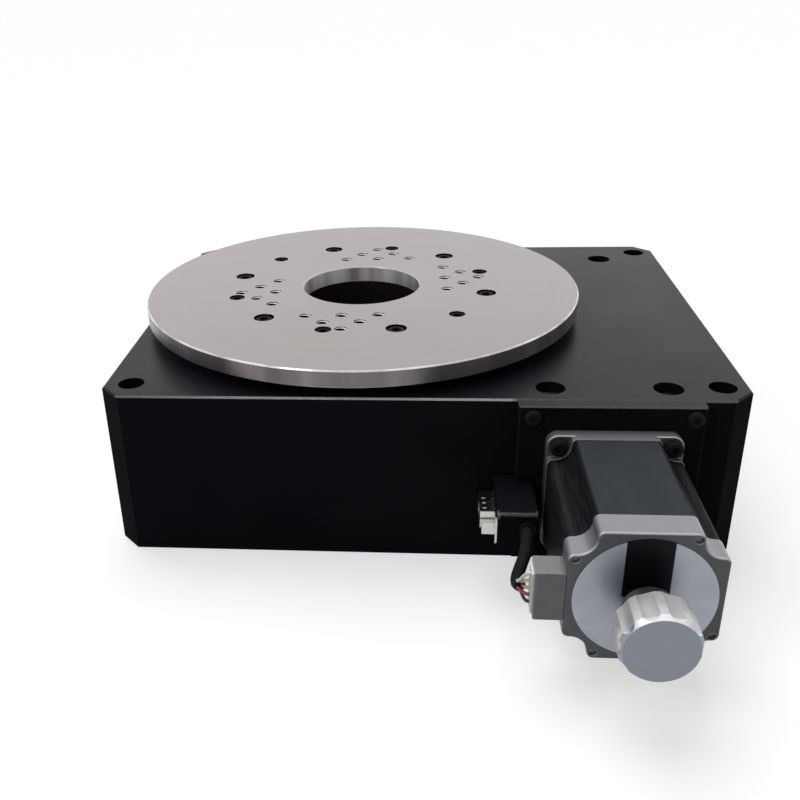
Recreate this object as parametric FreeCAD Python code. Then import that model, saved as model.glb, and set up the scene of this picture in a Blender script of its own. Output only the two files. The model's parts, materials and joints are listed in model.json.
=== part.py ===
"""Motorized rotation stage: a worm-driven round table on a black base, with a hand knob on the motor.

Millimetres. The origin is where the rotation axis meets the mounting face of the base.
+Z is up along the rotation axis, +X points to the motor end of the base, and the motor faces -Y.
"""
import FreeCAD, Part
import math
import os

V = FreeCAD.Vector
ORIGIN = V(0, 0, 0)
ALONG_X = V(1, 0, 0)
ALONG_Y = V(0, 1, 0)
UP = V(0, 0, 1)
DOWN = V(0, 0, -1)
FRONT = V(0, -1, 0)
LEFT = V(-1, 0, 0)

# Round table
table_diameter = 225.0
table_thickness = 8.5
table_bore_diameter = 61.0
table_edge_break = 0.6
index_angle = 48.0
screw_circle_diameter = 133.0
table_screw_count = 6
table_counterbore_diameter = 10.2
table_counterbore_depth = 5.6
table_screw_hold = 7.0
set_screw_diameter = 8.0
set_screw_sink = 0.8
set_screw_key = 4.0
grid_pitch = 12.7
grid_hole_diameter = 6.0
grid_hole_chamfer = 0.5
grid_places = ((4, 1), (4, 2), (4, 3), (3, 2), (3, 3), (2, 3))

# Base block
base_reach = 111.0
base_right = 173.0
base_height = 80.0
base_corner_cut = 9.4
base_edge_break = 0.8
table_gap = 5.0
mount_spacing_x = 260.0
mount_spacing_y = 195.0
mount_hole_inset = 12.5
mount_hole_diameter = 7.0
mount_counterbore_diameter = 12.0
mount_counterbore_depth = 12.0

# Fits and clearances; tools that cut run past the face by tool_past,
# and edges are picked out by their place within match_tolerance
seat_clearance = 0.02
thread_clearance = 0.05
hole_clearance = 0.3
running_gap = 1.0
flank_clearance = 0.3
roller_clearance = 0.2
tool_past = 1.0
match_tolerance = 0.001

# Worm and wheel
worm_pitch_diameter = 24.5
worm_z = 40.5
gear_module = 2.25
wheel_teeth = 90
wheel_width = 18.0
wheel_rim_depth = 16.4
pressure_angle = 20.0
dedendum_factor = 1.25
worm_turns = 8
worm_run_out = 4.0
worm_thread_sunk = 0.4
wheel_pocket_gap = 1.5

# Spindle and its crossed roller bearing
bearing_bore = 90.0
bearing_outer = 130.0
bearing_width = 16.0
bearing_ring_gap = 1.4
roller_size = 8.0
roller_count = 24
cage_thickness = 1.0
cage_margin = 0.8
spindle_flange_land = 8.5
spindle_flange_thickness = 8.0
spindle_bore_diameter = 62.0
spindle_shoulder_width = 5.0
clamp_ring_thickness = 5.0
clamp_ring_land = 10.0
clamp_ring_gap = 1.0
clamp_screw_count = 8
clamp_screw_hold = 7.0
clamp_tap_depth = 9.0
bearing_lip = 4.0
bearing_lip_width = 6.0
carrier_disc_thickness = 7.0
wheel_seat_width = 10.0
carrier_hub_wall = 7.0
carrier_screw_circle = 76.0
carrier_screw_count = 6
carrier_screw_hold = 8.5
carrier_tap_depth = 12.0
wheel_screw_count = 8
wheel_screw_hold = 6.5
wheel_tap_depth = 9.0

# Worm block, screwed to the base from above
block_half_width = 30.5
block_front = -106.0
block_back = 95.0
block_bottom = 20.0
block_top = 61.5
block_pocket_gap = 0.7
block_screw_half_spacing = 25.0
block_screw_front = -99.0
block_screw_back = 85.0
block_counterbore_diameter = 13.0
block_counterbore_depth = 10.0
block_screw_hold = 12.0
block_tap_depth = 14.0
chamber_diameter = 34.0
seat_shoulder_width = 3.0
seat_shoulder_bore = 26.0

# Worm shaft and what holds it
shaft_diameter = 15.0
shaft_collar_diameter = 20.0
worm_bearing_outer = 32.0
worm_bearing_width = 9.0
front_bearing_start = -79.0
rear_bearing_start = 76.0
shaft_nose_diameter = 10.0
lock_nut_diameter = 22.0
lock_nut_thread = 12.0
lock_nut_width = 5.0
lock_nut_slots = 4
lock_nut_slot_width = 3.0
lock_nut_slot_depth = 2.0
bearing_ring_wall = 0.16
bearing_shield = 0.8
rear_plug_relief_diameter = 19.0
rear_plug_relief_depth = 2.0
rear_plug_slot = 3.0

# Jaw coupling
coupling_diameter = 25.0
coupling_stand_off = 3.0
coupling_hub_length = 10.0
coupling_jaws = 3
coupling_jaw_bore = 11.0
spider_length = 8.0
spider_diameter = 24.0
spider_bore_diameter = 9.0
spider_leg_angle = 14.0
hub_screw_diameter = 3.0
hub_screw_key = 1.5
hub_screw_sink = 0.5

# Motor adapter plate
plate_left_width = 11.7
plate_right_width = 8.9
plate_thickness = 6.0
plate_bottom = 3.5
plate_top_gap = 0.3
plate_edge_break = 0.5
plate_notch_gap = 1.5
plate_screw_left = 6.0
plate_screw_right = 4.7
plate_screw_rise = 5.5
plate_screw_drop = 5.1
plate_screw_hold = 8.0
plate_tap_depth = 10.0

# Stepper motor
motor_frame = 56.4
motor_hole_inset = 4.63
motor_screw_short = 0.8
motor_pilot_diameter = 38.1
motor_pilot_height = 1.6
motor_length = 75.5
motor_ear_thickness = 4.8
front_bell_thickness = 8.0
rear_bell_thickness = 11.5
motor_ear_round = 5.0
motor_notch_radius = 7.0
motor_notch_inset = 2.8
motor_edge_round = 2.6
bell_edge_round = 0.8
ear_edge_round = 0.6
stator_inset = 0.25
motor_shaft_diameter = 6.35
motor_shaft_length = 20.6
motor_shaft_hole = 10.0
motor_bearing_outer = 22.0
motor_bearing_bore = 8.0
motor_bearing_width = 7.0
rotor_diameter = 28.0
rotor_gap = 0.4
rotor_end_gap = 2.0
rotor_waist_depth = 1.5
rotor_waist_width = 4.0
stator_poles = 8
stator_slot_width = 4.4
winding_radius = 23.0
winding_length = 6.0
winding_bore = 33.0
tie_screw_outset = 2.0
tie_screw_angle = 57.5
tie_screw_diameter = 3.0
tie_screw_sink = 1.0
tie_tap_depth = 4.0
rear_disc_diameter = 51.5
rear_disc_thickness = 0.4
rear_band_width = 16.8
rear_band_rise = 1.0

# Hand knob
knob_diameter = 26.0
knob_length = 15.0
knob_front_from_bell = 28.0
knob_chamfer = 1.6
knob_hub_diameter = 20.0
knob_hub_length = 6.0
knob_shaft_depth = 4.0
flute_count = 8
flute_radius = 8.0
flute_depth = 1.5
flute_stop = 0.3

# Motor connector and its lead
socket_width = 11.0
socket_depth = 11.0
socket_bottom = 29.8
socket_top = 50.4
socket_wall = 1.5
socket_round = 0.8
plug_gap = 0.15
plug_sink = 7.0
plug_stand_out = 0.9
wire_diameter = 1.3
wire_pitch = 3.2
wire_bundle_radius = 1.8
wire_bundle_angles = (-90.0, 198.0, -18.0, 54.0, 126.0)
wire_last_run = 4.0
wire_turn_left = 1.6
arc_share = 0.45
sleeve_diameter = 5.2
sleeve_route = ((69.9, -178.0, 36.0), (72.0, -168.0, 34.7), (75.6, -155.0, 35.0), (76.9, -140.5, 36.2))
grommet_flange_diameter = 6.8
grommet_neck_diameter = 6.0
grommet_flange_thickness = 1.2

# Connector box with its nine-way connector
box_width = 16.5
box_motor_gap = 4.3
box_depth = 32.0
box_bottom = 24.6
box_top = 43.3
box_wall = 1.8
box_edge_round = 0.6
box_tab_width = 8.2
box_tab_drop = 9.0
box_tab_thickness = 2.5
box_screw_hold = 5.5
box_tap_depth = 7.0
dsub_flange_length = 30.8
dsub_flange_height = 12.5
dsub_flange_thickness = 0.8
dsub_flange_round = 1.5
dsub_shell_length = 16.9
dsub_shell_height = 8.3
dsub_shell_reach = 5.8
dsub_shell_wall = 0.5
dsub_shell_round = 2.4
dsub_side_slope = 10.0
dsub_insulator_stand = 1.2
dsub_insulator_tail = 4.0
dsub_pin_diameter = 1.0
dsub_pin_reach = 4.8
dsub_pin_tail = 6.0
dsub_pin_pitch = 2.77
dsub_row_pitch = 2.84
jackpost_spacing = 25.0
jackpost_size = 4.8
jackpost_reach = 5.5
jackpost_bore = 2.6
jackpost_bore_depth = 4.0
jackpost_shank = 2.8
jackpost_shank_tail = 2.0

# Bottom cover
cover_thickness = 4.5
cover_margin = 4.0
cover_right_margin = 21.0
cover_left_cut = 35.0
cover_right_cut = 4.0
cover_clearance = 0.3
cover_bore_diameter = 64.0
cover_screw_spots = ((-80.0, 92.0), (62.0, 99.0), (148.3, 60.0))
cover_screw_hold = 7.5
cover_tap_depth = 10.0

# Home sensor and its flag
sensor_angle = 200.0
flag_inset = 8.0
sensor_width = 12.0
sensor_length = 24.0
sensor_fork_length = 10.0
sensor_gap = 6.0
sensor_foot = 3.0
sensor_slot_width = 3.0
sensor_slot_depth = 8.0
sensor_screw_short = 1.0
flag_thickness = 1.0
flag_length = 12.0
flag_entry = 5.5
flag_foot = 1.5
flag_foot_reach = 8.5
flag_screw_hold = 3.5
flag_tap_depth = 5.0

# Screw sizes: thread diameter, head diameter, head height, hexagon across flats
M3 = (3.0, 5.5, 3.0, 2.5)
M4 = (4.0, 7.0, 4.0, 3.0)
M5 = (5.0, 8.5, 5.0, 4.0)
M6 = (6.0, 10.0, 6.0, 5.0)
counterbore_sink = 0.5
low_head_key = 0.8
button_height = 0.32
button_side = 0.11
button_top = 0.34

# Levels, places and gear sizes that follow from the values above
table_bottom = base_height + table_gap
table_top = table_bottom + table_thickness
table_screw_length = table_thickness - table_counterbore_depth + table_screw_hold
mount_hole_left = -base_reach + mount_hole_inset
flange_bottom = table_bottom - spindle_flange_thickness
recess_floor = flange_bottom - running_gap
bearing_top = recess_floor - clamp_ring_thickness
bearing_bottom = bearing_top - bearing_width
bearing_middle = bearing_bottom + bearing_width / 2
roller_circle_diameter = (bearing_bore + bearing_outer) / 2
bearing_lip_bore = bearing_outer - 2 * bearing_lip_width
clamp_ring_diameter = bearing_outer + 2 * clamp_ring_land
clamp_ring_bore = roller_circle_diameter + 2 * clamp_ring_gap
clamp_screw_length = clamp_ring_thickness + clamp_screw_hold
spindle_flange_diameter = screw_circle_diameter + 2 * spindle_flange_land
spindle_shoulder_diameter = bearing_bore + 2 * spindle_shoulder_width
carrier_hub_diameter = bearing_bore + 2 * carrier_hub_wall
flange_recess_diameter = max(spindle_flange_diameter, clamp_ring_diameter) + 2 * running_gap
pocket_ceiling = bearing_bottom - bearing_lip
wheel_bottom = worm_z - wheel_width / 2
wheel_top = worm_z + wheel_width / 2
carrier_bottom = wheel_bottom - carrier_disc_thickness
wheel_radius = gear_module * wheel_teeth / 2
worm_radius = worm_pitch_diameter / 2
worm_x = wheel_radius + worm_radius
wheel_tip = wheel_radius + gear_module
wheel_root = wheel_radius - dedendum_factor * gear_module
wheel_bore_diameter = 2 * (wheel_root - wheel_rim_depth)
carrier_disc_diameter = wheel_bore_diameter + 2 * wheel_seat_width
wheel_screw_circle = wheel_bore_diameter + wheel_seat_width
worm_tip = worm_radius + gear_module
worm_root = worm_radius - dedendum_factor * gear_module
worm_lead = math.pi * gear_module
worm_length = worm_turns * worm_lead
wheel_pocket_diameter = 2 * (wheel_tip + wheel_pocket_gap)
front_bearing_end = front_bearing_start + 2 * worm_bearing_width
rear_bearing_end = rear_bearing_start + worm_bearing_width
lock_nut_start = front_bearing_start - lock_nut_width
block_screw_length = base_height - block_counterbore_depth - block_top + block_screw_hold
plate_front = -base_reach - plate_thickness
plate_top = base_height - plate_top_gap
plate_screw_low = plate_bottom + plate_screw_rise
plate_screw_high = plate_top - plate_screw_drop
plate_screw_length = plate_thickness + plate_screw_hold
plate_left = worm_x - motor_frame / 2 - plate_left_width
plate_right = worm_x + motor_frame / 2 + plate_right_width
coupling_front = plate_front + coupling_stand_off
spider_front = coupling_front + coupling_hub_length
spider_back = spider_front + spider_length
coupling_back = spider_back + coupling_hub_length
motor_rear = plate_front - motor_length
motor_screw_length = motor_ear_thickness + plate_thickness - motor_screw_short
motor_hole_spacing = motor_frame - 2 * motor_hole_inset
motor_notch_offset = motor_frame / 2 - motor_notch_inset
tie_screw_radius = motor_frame / 2 + tie_screw_outset
stator_front = plate_front - front_bell_thickness
stator_rear = motor_rear + rear_bell_thickness
knob_front = motor_rear - knob_front_from_bell
knob_back = knob_front + knob_length
knob_hub_back = knob_back + knob_hub_length
socket_right = worm_x - motor_frame / 2
socket_left = socket_right - socket_width
box_right = socket_right - box_motor_gap
box_left = box_right - box_width
box_front = -base_reach - box_depth
box_screw_length = box_tab_thickness + box_screw_hold
dsub_face = box_left - dsub_flange_thickness
dsub_y = -base_reach - box_depth / 2
dsub_z = (box_bottom + box_top) / 2
cover_left = -base_reach + cover_margin
cover_right = base_right - cover_right_margin
cover_half_depth = base_reach - cover_margin
cover_screw_length = cover_thickness + cover_screw_hold
sensor_circle_radius = carrier_disc_diameter / 2 - flag_inset
sensor_height = carrier_bottom - sensor_gap - cover_thickness
sensor_screw_length = sensor_foot + cover_thickness - sensor_screw_short
flag_angle = index_angle + 180.0
flag_drop = sensor_gap + flag_entry
flag_screw_length = flag_foot + flag_screw_hold


def on_circle(diameter, count, first_angle):
    """Places evenly spaced on a circle round the rotation axis."""
    angles = [math.radians(first_angle + 360.0 * k / count) for k in range(count)]
    return [(diameter / 2 * math.cos(a), diameter / 2 * math.sin(a)) for a in angles]


def turned_spot(radius, angle, along=0.0):
    """A place at a radius and angle round the rotation axis, moved along the tangent."""
    a = math.radians(angle)
    return (radius * math.cos(a) - along * math.sin(a), radius * math.sin(a) + along * math.cos(a))


table_screw_places = on_circle(screw_circle_diameter, table_screw_count, index_angle)
set_screw_places = on_circle(screw_circle_diameter, table_screw_count,
                             index_angle + 180.0 / table_screw_count)
clamp_screw_places = on_circle((bearing_outer + clamp_ring_diameter) / 2, clamp_screw_count, 0)
carrier_screw_places = on_circle(carrier_screw_circle, carrier_screw_count, index_angle)
wheel_screw_places = on_circle(wheel_screw_circle, wheel_screw_count,
                               index_angle + 180.0 / wheel_screw_count)
mount_places = [(mount_hole_left + i * mount_spacing_x, (j - 0.5) * mount_spacing_y)
                for i in (0, 1) for j in (0, 1)]
block_screw_places = [(worm_x + side * block_screw_half_spacing, y)
                      for side in (-1, 1) for y in (block_screw_front, block_screw_back)]
plate_screw_places = [(x, z) for x in (plate_left + plate_screw_left, plate_right - plate_screw_right)
                      for z in (plate_screw_low, plate_screw_high)]
motor_screw_places = [(worm_x + i * motor_hole_spacing / 2, worm_z + j * motor_hole_spacing / 2)
                      for i in (-1, 1) for j in (-1, 1)]
cover_screw_places = [(x, side * y) for x, y in cover_screw_spots for side in (-1, 1)]
sensor_screw_along = (sensor_length + sensor_fork_length) / 4
sensor_screw_places = [turned_spot(sensor_circle_radius, sensor_angle, side * sensor_screw_along)
                       for side in (-1, 1)]
flag_screw_place = turned_spot(sensor_circle_radius - flag_foot_reach / 2, flag_angle)
box_screw_place = (box_left + box_tab_width / 2, box_bottom - box_tab_drop / 2)
jackpost_places = [dsub_y + side * jackpost_spacing / 2 for side in (-1, 1)]


def grid_hole_places():
    """The tapped square grid of the table, four mirrored groups turned by the index angle."""
    turn = FreeCAD.Rotation(UP, index_angle)
    places = []
    for column, row in grid_places:
        for side in (-1, 1):
            for end in (-1, 1):
                spot = turn.multVec(V(side * column * grid_pitch, end * row * grid_pitch, 0))
                places.append((spot.x, spot.y))
    return places


def tie_screw_places():
    """The four long motor screws, set round the motor's axis away from its corners."""
    angles = [math.radians(tie_screw_angle + 90 * k) for k in range(4)]
    return [(worm_x + tie_screw_radius * math.cos(a), worm_z + tie_screw_radius * math.sin(a))
            for a in angles]


def pin_places():
    """The connector's nine pins in Y and Z: five above, four below."""
    places = [((k - 2) * dsub_pin_pitch, dsub_row_pitch / 2) for k in range(5)]
    places += [((k - 1.5) * dsub_pin_pitch, -dsub_row_pitch / 2) for k in range(4)]
    return [(dsub_y + y, dsub_z + z) for y, z in places]


def block(x0, x1, y0, y1, z0, z1):
    """A box between two corners."""
    return Part.makeBox(x1 - x0, y1 - y0, z1 - z0, V(x0, y0, z0))


def disc(diameter, z0, z1, place=(0, 0)):
    """An upright cylinder."""
    return Part.makeCylinder(diameter / 2, z1 - z0, V(place[0], place[1], z0))


def rod(diameter, y0, y1, place=(worm_x, worm_z)):
    """A cylinder along Y, on the drive axis unless another place in X and Z is given."""
    return Part.makeCylinder(diameter / 2, y1 - y0, V(place[0], y0, place[1]), ALONG_Y)


def bar(diameter, x0, x1, place):
    """A cylinder along X at a place in Y and Z."""
    return Part.makeCylinder(diameter / 2, x1 - x0, V(x0, place[0], place[1]), ALONG_X)


def turned(profile):
    """A body turned about the rotation axis from a profile of radius and height."""
    points = [V(r, 0, z) for r, z in profile]
    return Part.Face(Part.makePolygon(points + points[:1])).revolve(ORIGIN, UP, 360)


def turned_on_drive(profile):
    """A body turned about the drive axis from a profile of radius and Y."""
    points = [V(worm_x + r, y, worm_z) for r, y in profile]
    return Part.Face(Part.makePolygon(points + points[:1])).revolve(V(worm_x, 0, worm_z), ALONG_Y, 360)


def prism(points, vector):
    """A straight-sided body from a closed outline."""
    return Part.Face(Part.makePolygon(points + points[:1])).extrude(vector)


def hexagon(across_flats, z0, z1):
    """An upright hexagonal prism."""
    radius = across_flats / math.sqrt(3)
    corners = [V(radius * math.cos(math.pi * k / 3), radius * math.sin(math.pi * k / 3), z0)
               for k in range(6)]
    return prism(corners, V(0, 0, z1 - z0))


def stood(shape, position, direction):
    """A copy of a shape made along +Z, stood at a position and pointed along a direction."""
    copy = shape.copy()
    copy.Placement = FreeCAD.Placement(position, FreeCAD.Rotation(UP, direction))
    return copy


def edges_of_length(shape, axis, length):
    """The straight edges of a body that run its whole length along one axis."""
    return [e for e in shape.Edges if abs(getattr(e.BoundBox, axis + "Length") - length) < match_tolerance]


def cap_screw(size, length):
    """A socket cap screw with the underside of its head at the origin and the head upward."""
    thread, head, height, flats = size
    screw = disc(head, 0, height).fuse(disc(thread, -length, 0)).removeSplitter()
    return screw.cut(hexagon(flats, height / 2, height))


def flat_screw(size, length):
    """A countersunk screw whose flat top is at the origin."""
    thread, head, height, flats = size
    sink = (head - thread) / 2
    body = turned([(0, -length), (thread / 2, -length), (thread / 2, -sink), (head / 2, 0), (0, 0)])
    return body.cut(hexagon(flats * low_head_key, -sink, 0))


def button_screw(size, length):
    """A button head screw with the underside of its head at the origin."""
    thread, head, height, flats = size
    crown = head * button_height
    body = turned([(0, -length), (thread / 2, -length), (thread / 2, 0), (head / 2, 0),
                   (head / 2, head * button_side), (head * button_top, crown), (0, crown)])
    return body.cut(hexagon(flats * low_head_key, crown / 2, crown))


def set_screw(diameter, length, key):
    """A headless screw that stands on the origin, with a hexagon socket in its upper end."""
    return disc(diameter, 0, length).cut(hexagon(key, length - key, length))


def group(screw, positions, direction):
    """One screw repeated at a list of positions."""
    return Part.makeCompound([stood(screw, position, direction) for position in positions])


def flat_screw_hole(size, depth):
    """Clearance for a countersunk screw whose top lies at the origin."""
    thread, head, height, flats = size
    sink = (head - thread) / 2
    grow = hole_clearance / 2
    return turned([(0, -depth), (thread / 2 + grow, -depth), (thread / 2 + grow, -sink),
                   (head / 2 + grow, 0), (0, 0)])


def tapped(size):
    """The diameter of a hole that a screw of this size is screwed into."""
    return size[0] + 2 * thread_clearance


def clear(size):
    """The diameter of a hole that a screw of this size passes through."""
    return size[0] + 2 * hole_clearance


def base_outline():
    """The block's outline: square round the rotation axis, longer to the right, with cut corners."""
    reach = base_reach
    right = base_right
    cut = base_corner_cut
    return [V(-reach + cut, -reach, 0), V(right - cut, -reach, 0), V(right, -reach + cut, 0),
            V(right, reach - cut, 0), V(right - cut, reach, 0), V(-reach + cut, reach, 0),
            V(-reach, reach - cut, 0), V(-reach, -reach + cut, 0)]


def cover_outline(grow):
    """The bottom cover's outline, clear of the four mounting holes."""
    left = cover_left - grow
    right = cover_right + grow
    half = cover_half_depth + grow
    near = cover_left_cut
    far = cover_right_cut
    return [V(left + near, -half, 0), V(right - far, -half, 0), V(right, -half + far, 0),
            V(right, half - far, 0), V(right - far, half, 0), V(left + near, half, 0),
            V(left, half - near, 0), V(left, -half + near, 0)]


def housing_screw_holes():
    """Every hole of the base block that takes or passes a screw."""
    past_top = base_height + tool_past
    holes = []
    for place in mount_places:
        holes.append(disc(mount_hole_diameter, -tool_past, base_height, place))
        seat = base_height - mount_counterbore_depth
        holes.append(disc(mount_counterbore_diameter, seat, past_top, place))
    for place in block_screw_places:
        holes.append(disc(clear(M6), block_top - tool_past, base_height, place))
        seat = base_height - block_counterbore_depth
        holes.append(disc(block_counterbore_diameter, seat, past_top, place))
    for place in clamp_screw_places:
        holes.append(disc(tapped(M4), bearing_top - clamp_tap_depth, bearing_top, place))
    for place in cover_screw_places:
        holes.append(disc(tapped(M3), cover_thickness, cover_thickness + cover_tap_depth, place))
    for place in plate_screw_places:
        holes.append(rod(tapped(M4), -base_reach - tool_past, -base_reach + plate_tap_depth, place))
    holes.append(rod(tapped(M3), -base_reach - tool_past, -base_reach + box_tap_depth, box_screw_place))
    return holes


def make_housing():
    """The base block, hollowed from below for the wheel and the worm block."""
    body = prism(base_outline(), V(0, 0, base_height))
    top_edges = [e for e in body.Edges if e.BoundBox.ZMin > base_height - match_tolerance]
    body = body.makeChamfer(base_edge_break, top_edges)
    pocket_half_width = block_half_width + block_pocket_gap
    hollows = [
        prism(cover_outline(cover_clearance), V(0, 0, cover_thickness)),
        disc(wheel_pocket_diameter, 0, pocket_ceiling),
        block(worm_x - pocket_half_width, worm_x + pocket_half_width, block_front - block_pocket_gap,
              block_back + block_pocket_gap, 0, block_top),
        rod(chamber_diameter, -base_reach - tool_past, block_front),
        disc(bearing_lip_bore, pocket_ceiling - tool_past, bearing_bottom),
        disc(bearing_outer + 2 * seat_clearance, bearing_bottom, bearing_top),
        disc(clamp_ring_diameter + 2 * seat_clearance, bearing_top, recess_floor),
        disc(flange_recess_diameter, recess_floor, base_height + tool_past),
    ]
    return body.cut(hollows + housing_screw_holes())


def make_bottom_cover():
    """The plate that closes the base from below, open round the rotation axis."""
    plate = prism(cover_outline(0), V(0, 0, cover_thickness))
    hole = flat_screw_hole(M3, cover_thickness)
    tools = [stood(hole, V(x, y, 0), DOWN) for x, y in cover_screw_places]
    tools.append(disc(cover_bore_diameter, -tool_past, cover_thickness + tool_past))
    tools += [disc(tapped(M3), -tool_past, cover_thickness + tool_past, place)
              for place in sensor_screw_places]
    return plate.cut(tools)


def make_clamp_ring():
    """The ring that holds the bearing's outer ring down."""
    ring = disc(clamp_ring_diameter, bearing_top, recess_floor)
    hole = flat_screw_hole(M4, clamp_ring_thickness)
    tools = [stood(hole, V(x, y, recess_floor), UP) for x, y in clamp_screw_places]
    tools.append(disc(clamp_ring_bore, bearing_top - tool_past, recess_floor + tool_past))
    return ring.cut(tools)


def roller_groove():
    """A ring of square section stood on its corner, on the rollers' circle."""
    middle = roller_circle_diameter / 2
    reach = roller_size / math.sqrt(2)
    return turned([(middle - reach, bearing_middle), (middle, bearing_middle - reach),
                   (middle + reach, bearing_middle), (middle, bearing_middle + reach)])


def make_bearing_rings():
    """The crossed roller bearing: outer ring split in two halves, inner ring in one piece."""
    groove = roller_groove()
    outer_bore = disc(roller_circle_diameter + bearing_ring_gap, bearing_bottom, bearing_top)
    halves = []
    for z0, z1 in ((bearing_bottom, bearing_middle), (bearing_middle, bearing_top)):
        halves.append(disc(bearing_outer, z0, z1).cut([outer_bore, groove]))
    inner = disc(roller_circle_diameter - bearing_ring_gap, bearing_bottom, bearing_top)
    inner = inner.cut([disc(bearing_bore, bearing_bottom, bearing_top), groove])
    return Part.makeCompound(halves), inner


def make_rollers():
    """The bearing's rollers, leaning in and out by turns."""
    size = roller_size - 2 * roller_clearance
    centre = V(roller_circle_diameter / 2, 0, bearing_middle)
    rollers = []
    for k in range(roller_count):
        lean = math.radians(45 if k % 2 else -45)
        direction = V(math.sin(lean), 0, math.cos(lean))
        roller = Part.makeCylinder(size / 2, size, centre - direction * (size / 2), direction)
        roller.rotate(ORIGIN, UP, 360.0 * k / roller_count)
        rollers.append(roller)
    return Part.makeCompound(rollers)


def make_roller_cage():
    """The thin ring that keeps the rollers apart, with one window each."""
    z0 = bearing_bottom + cage_margin
    z1 = bearing_top - cage_margin
    ring = disc(roller_circle_diameter + cage_thickness, z0, z1)
    tools = [disc(roller_circle_diameter - cage_thickness, z0, z1)]
    middle = roller_circle_diameter / 2
    half_height = roller_size / math.sqrt(2)
    for k in range(roller_count):
        window = block(middle - roller_size / 2, middle + roller_size / 2, -roller_size / 2, roller_size / 2,
                       bearing_middle - half_height, bearing_middle + half_height)
        window.rotate(ORIGIN, UP, 360.0 * k / roller_count)
        tools.append(window)
    return ring.cut(tools)


def make_table_top():
    """The round table with its bore, screw counterbores, tapped set screw holes and tapped grid."""
    radius = table_diameter / 2
    edge = table_edge_break
    bore = table_bore_diameter / 2
    body = turned([(bore, table_bottom), (radius - edge, table_bottom), (radius, table_bottom + edge),
                   (radius, table_top - edge), (radius - edge, table_top), (bore + edge, table_top),
                   (bore, table_top - edge)])
    below = table_bottom - tool_past
    above = table_top + tool_past
    tools = []
    for place in table_screw_places:
        tools.append(disc(clear(M5), below, table_top, place))
        tools.append(disc(table_counterbore_diameter, table_top - table_counterbore_depth, above, place))
    for place in set_screw_places:
        tools.append(disc(set_screw_diameter + 2 * thread_clearance, below, above, place))
    narrow = grid_hole_diameter / 2
    wide = narrow + grid_hole_chamfer
    hole = turned([(0, below), (narrow, below), (narrow, table_top - grid_hole_chamfer),
                   (wide, table_top), (0, table_top)])
    tools += [stood(hole, V(x, y, 0), UP) for x, y in grid_hole_places()]
    return body.cut(tools)


def make_spindle():
    """The hollow spindle: flange under the table, shoulder on the bearing, neck through it."""
    bore = spindle_bore_diameter / 2
    neck = bearing_bore / 2 - seat_clearance
    shoulder = spindle_shoulder_diameter / 2
    flange = spindle_flange_diameter / 2
    body = turned([(bore, wheel_bottom), (neck, wheel_bottom), (neck, bearing_top), (shoulder, bearing_top),
                   (shoulder, flange_bottom), (flange, flange_bottom), (flange, table_bottom),
                   (bore, table_bottom)])
    tools = [disc(tapped(M5), flange_bottom - tool_past, table_bottom + tool_past, place)
             for place in table_screw_places]
    tools += [disc(tapped(M5), wheel_bottom - tool_past, wheel_bottom + carrier_tap_depth, place)
              for place in carrier_screw_places]
    return body.cut(tools)


def make_wheel_carrier():
    """The disc that carries the worm wheel; its hub clamps the bearing's inner ring."""
    bore = spindle_bore_diameter / 2
    neck = bearing_bore / 2 + seat_clearance
    hub = carrier_hub_diameter / 2
    rim = carrier_disc_diameter / 2
    body = turned([(bore, carrier_bottom), (rim, carrier_bottom), (rim, wheel_bottom), (hub, wheel_bottom),
                   (hub, bearing_bottom), (neck, bearing_bottom), (neck, wheel_bottom),
                   (bore, wheel_bottom)])
    below = carrier_bottom - tool_past
    tools = [disc(tapped(M3), below, carrier_bottom + flag_tap_depth, flag_screw_place)]
    for size, places in ((M5, carrier_screw_places), (M4, wheel_screw_places)):
        for place in places:
            tools.append(disc(clear(size), below, wheel_bottom + tool_past, place))
            tools.append(disc(size[1] + 2 * hole_clearance, below, carrier_screw_seat(size), place))
    return body.cut(tools)


def carrier_screw_seat(size):
    """The height of the counterbores' floor in the carrier's underside."""
    return carrier_bottom + size[2] + counterbore_sink


def tooth_half_width(distance):
    """Half the width of a straight-flanked tooth at a distance outside the pitch line."""
    at_pitch = (worm_lead / 2 - flank_clearance) / 2
    return at_pitch - distance * math.tan(math.radians(pressure_angle))


def wheel_outline(z):
    """The toothed outline at one height, turned by the worm's lead so that the teeth follow the thread."""
    lead_slope = worm_lead / (2 * math.pi * worm_radius)
    turn = (z - worm_z) * lead_slope / wheel_radius
    corners = [(wheel_root, -1), (wheel_tip, -1), (wheel_tip, 1), (wheel_root, 1)]
    points = []
    for k in range(wheel_teeth):
        middle = turn + (k + 0.5) * 2 * math.pi / wheel_teeth
        for radius, side in corners:
            angle = middle + side * tooth_half_width(radius - wheel_radius) / radius
            points.append(V(radius * math.cos(angle), radius * math.sin(angle), z))
    return Part.makePolygon(points + points[:1])


def make_worm_wheel():
    """The bronze wheel rim with helical teeth in mesh with the worm."""
    rim = Part.makeLoft([wheel_outline(wheel_bottom), wheel_outline(wheel_top)], True, True)
    tools = [disc(tapped(M4), wheel_bottom - tool_past, wheel_bottom + wheel_tap_depth, place)
             for place in wheel_screw_places]
    tools.append(disc(wheel_bore_diameter, wheel_bottom - tool_past, wheel_top + tool_past))
    return rim.cut(tools)


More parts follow.
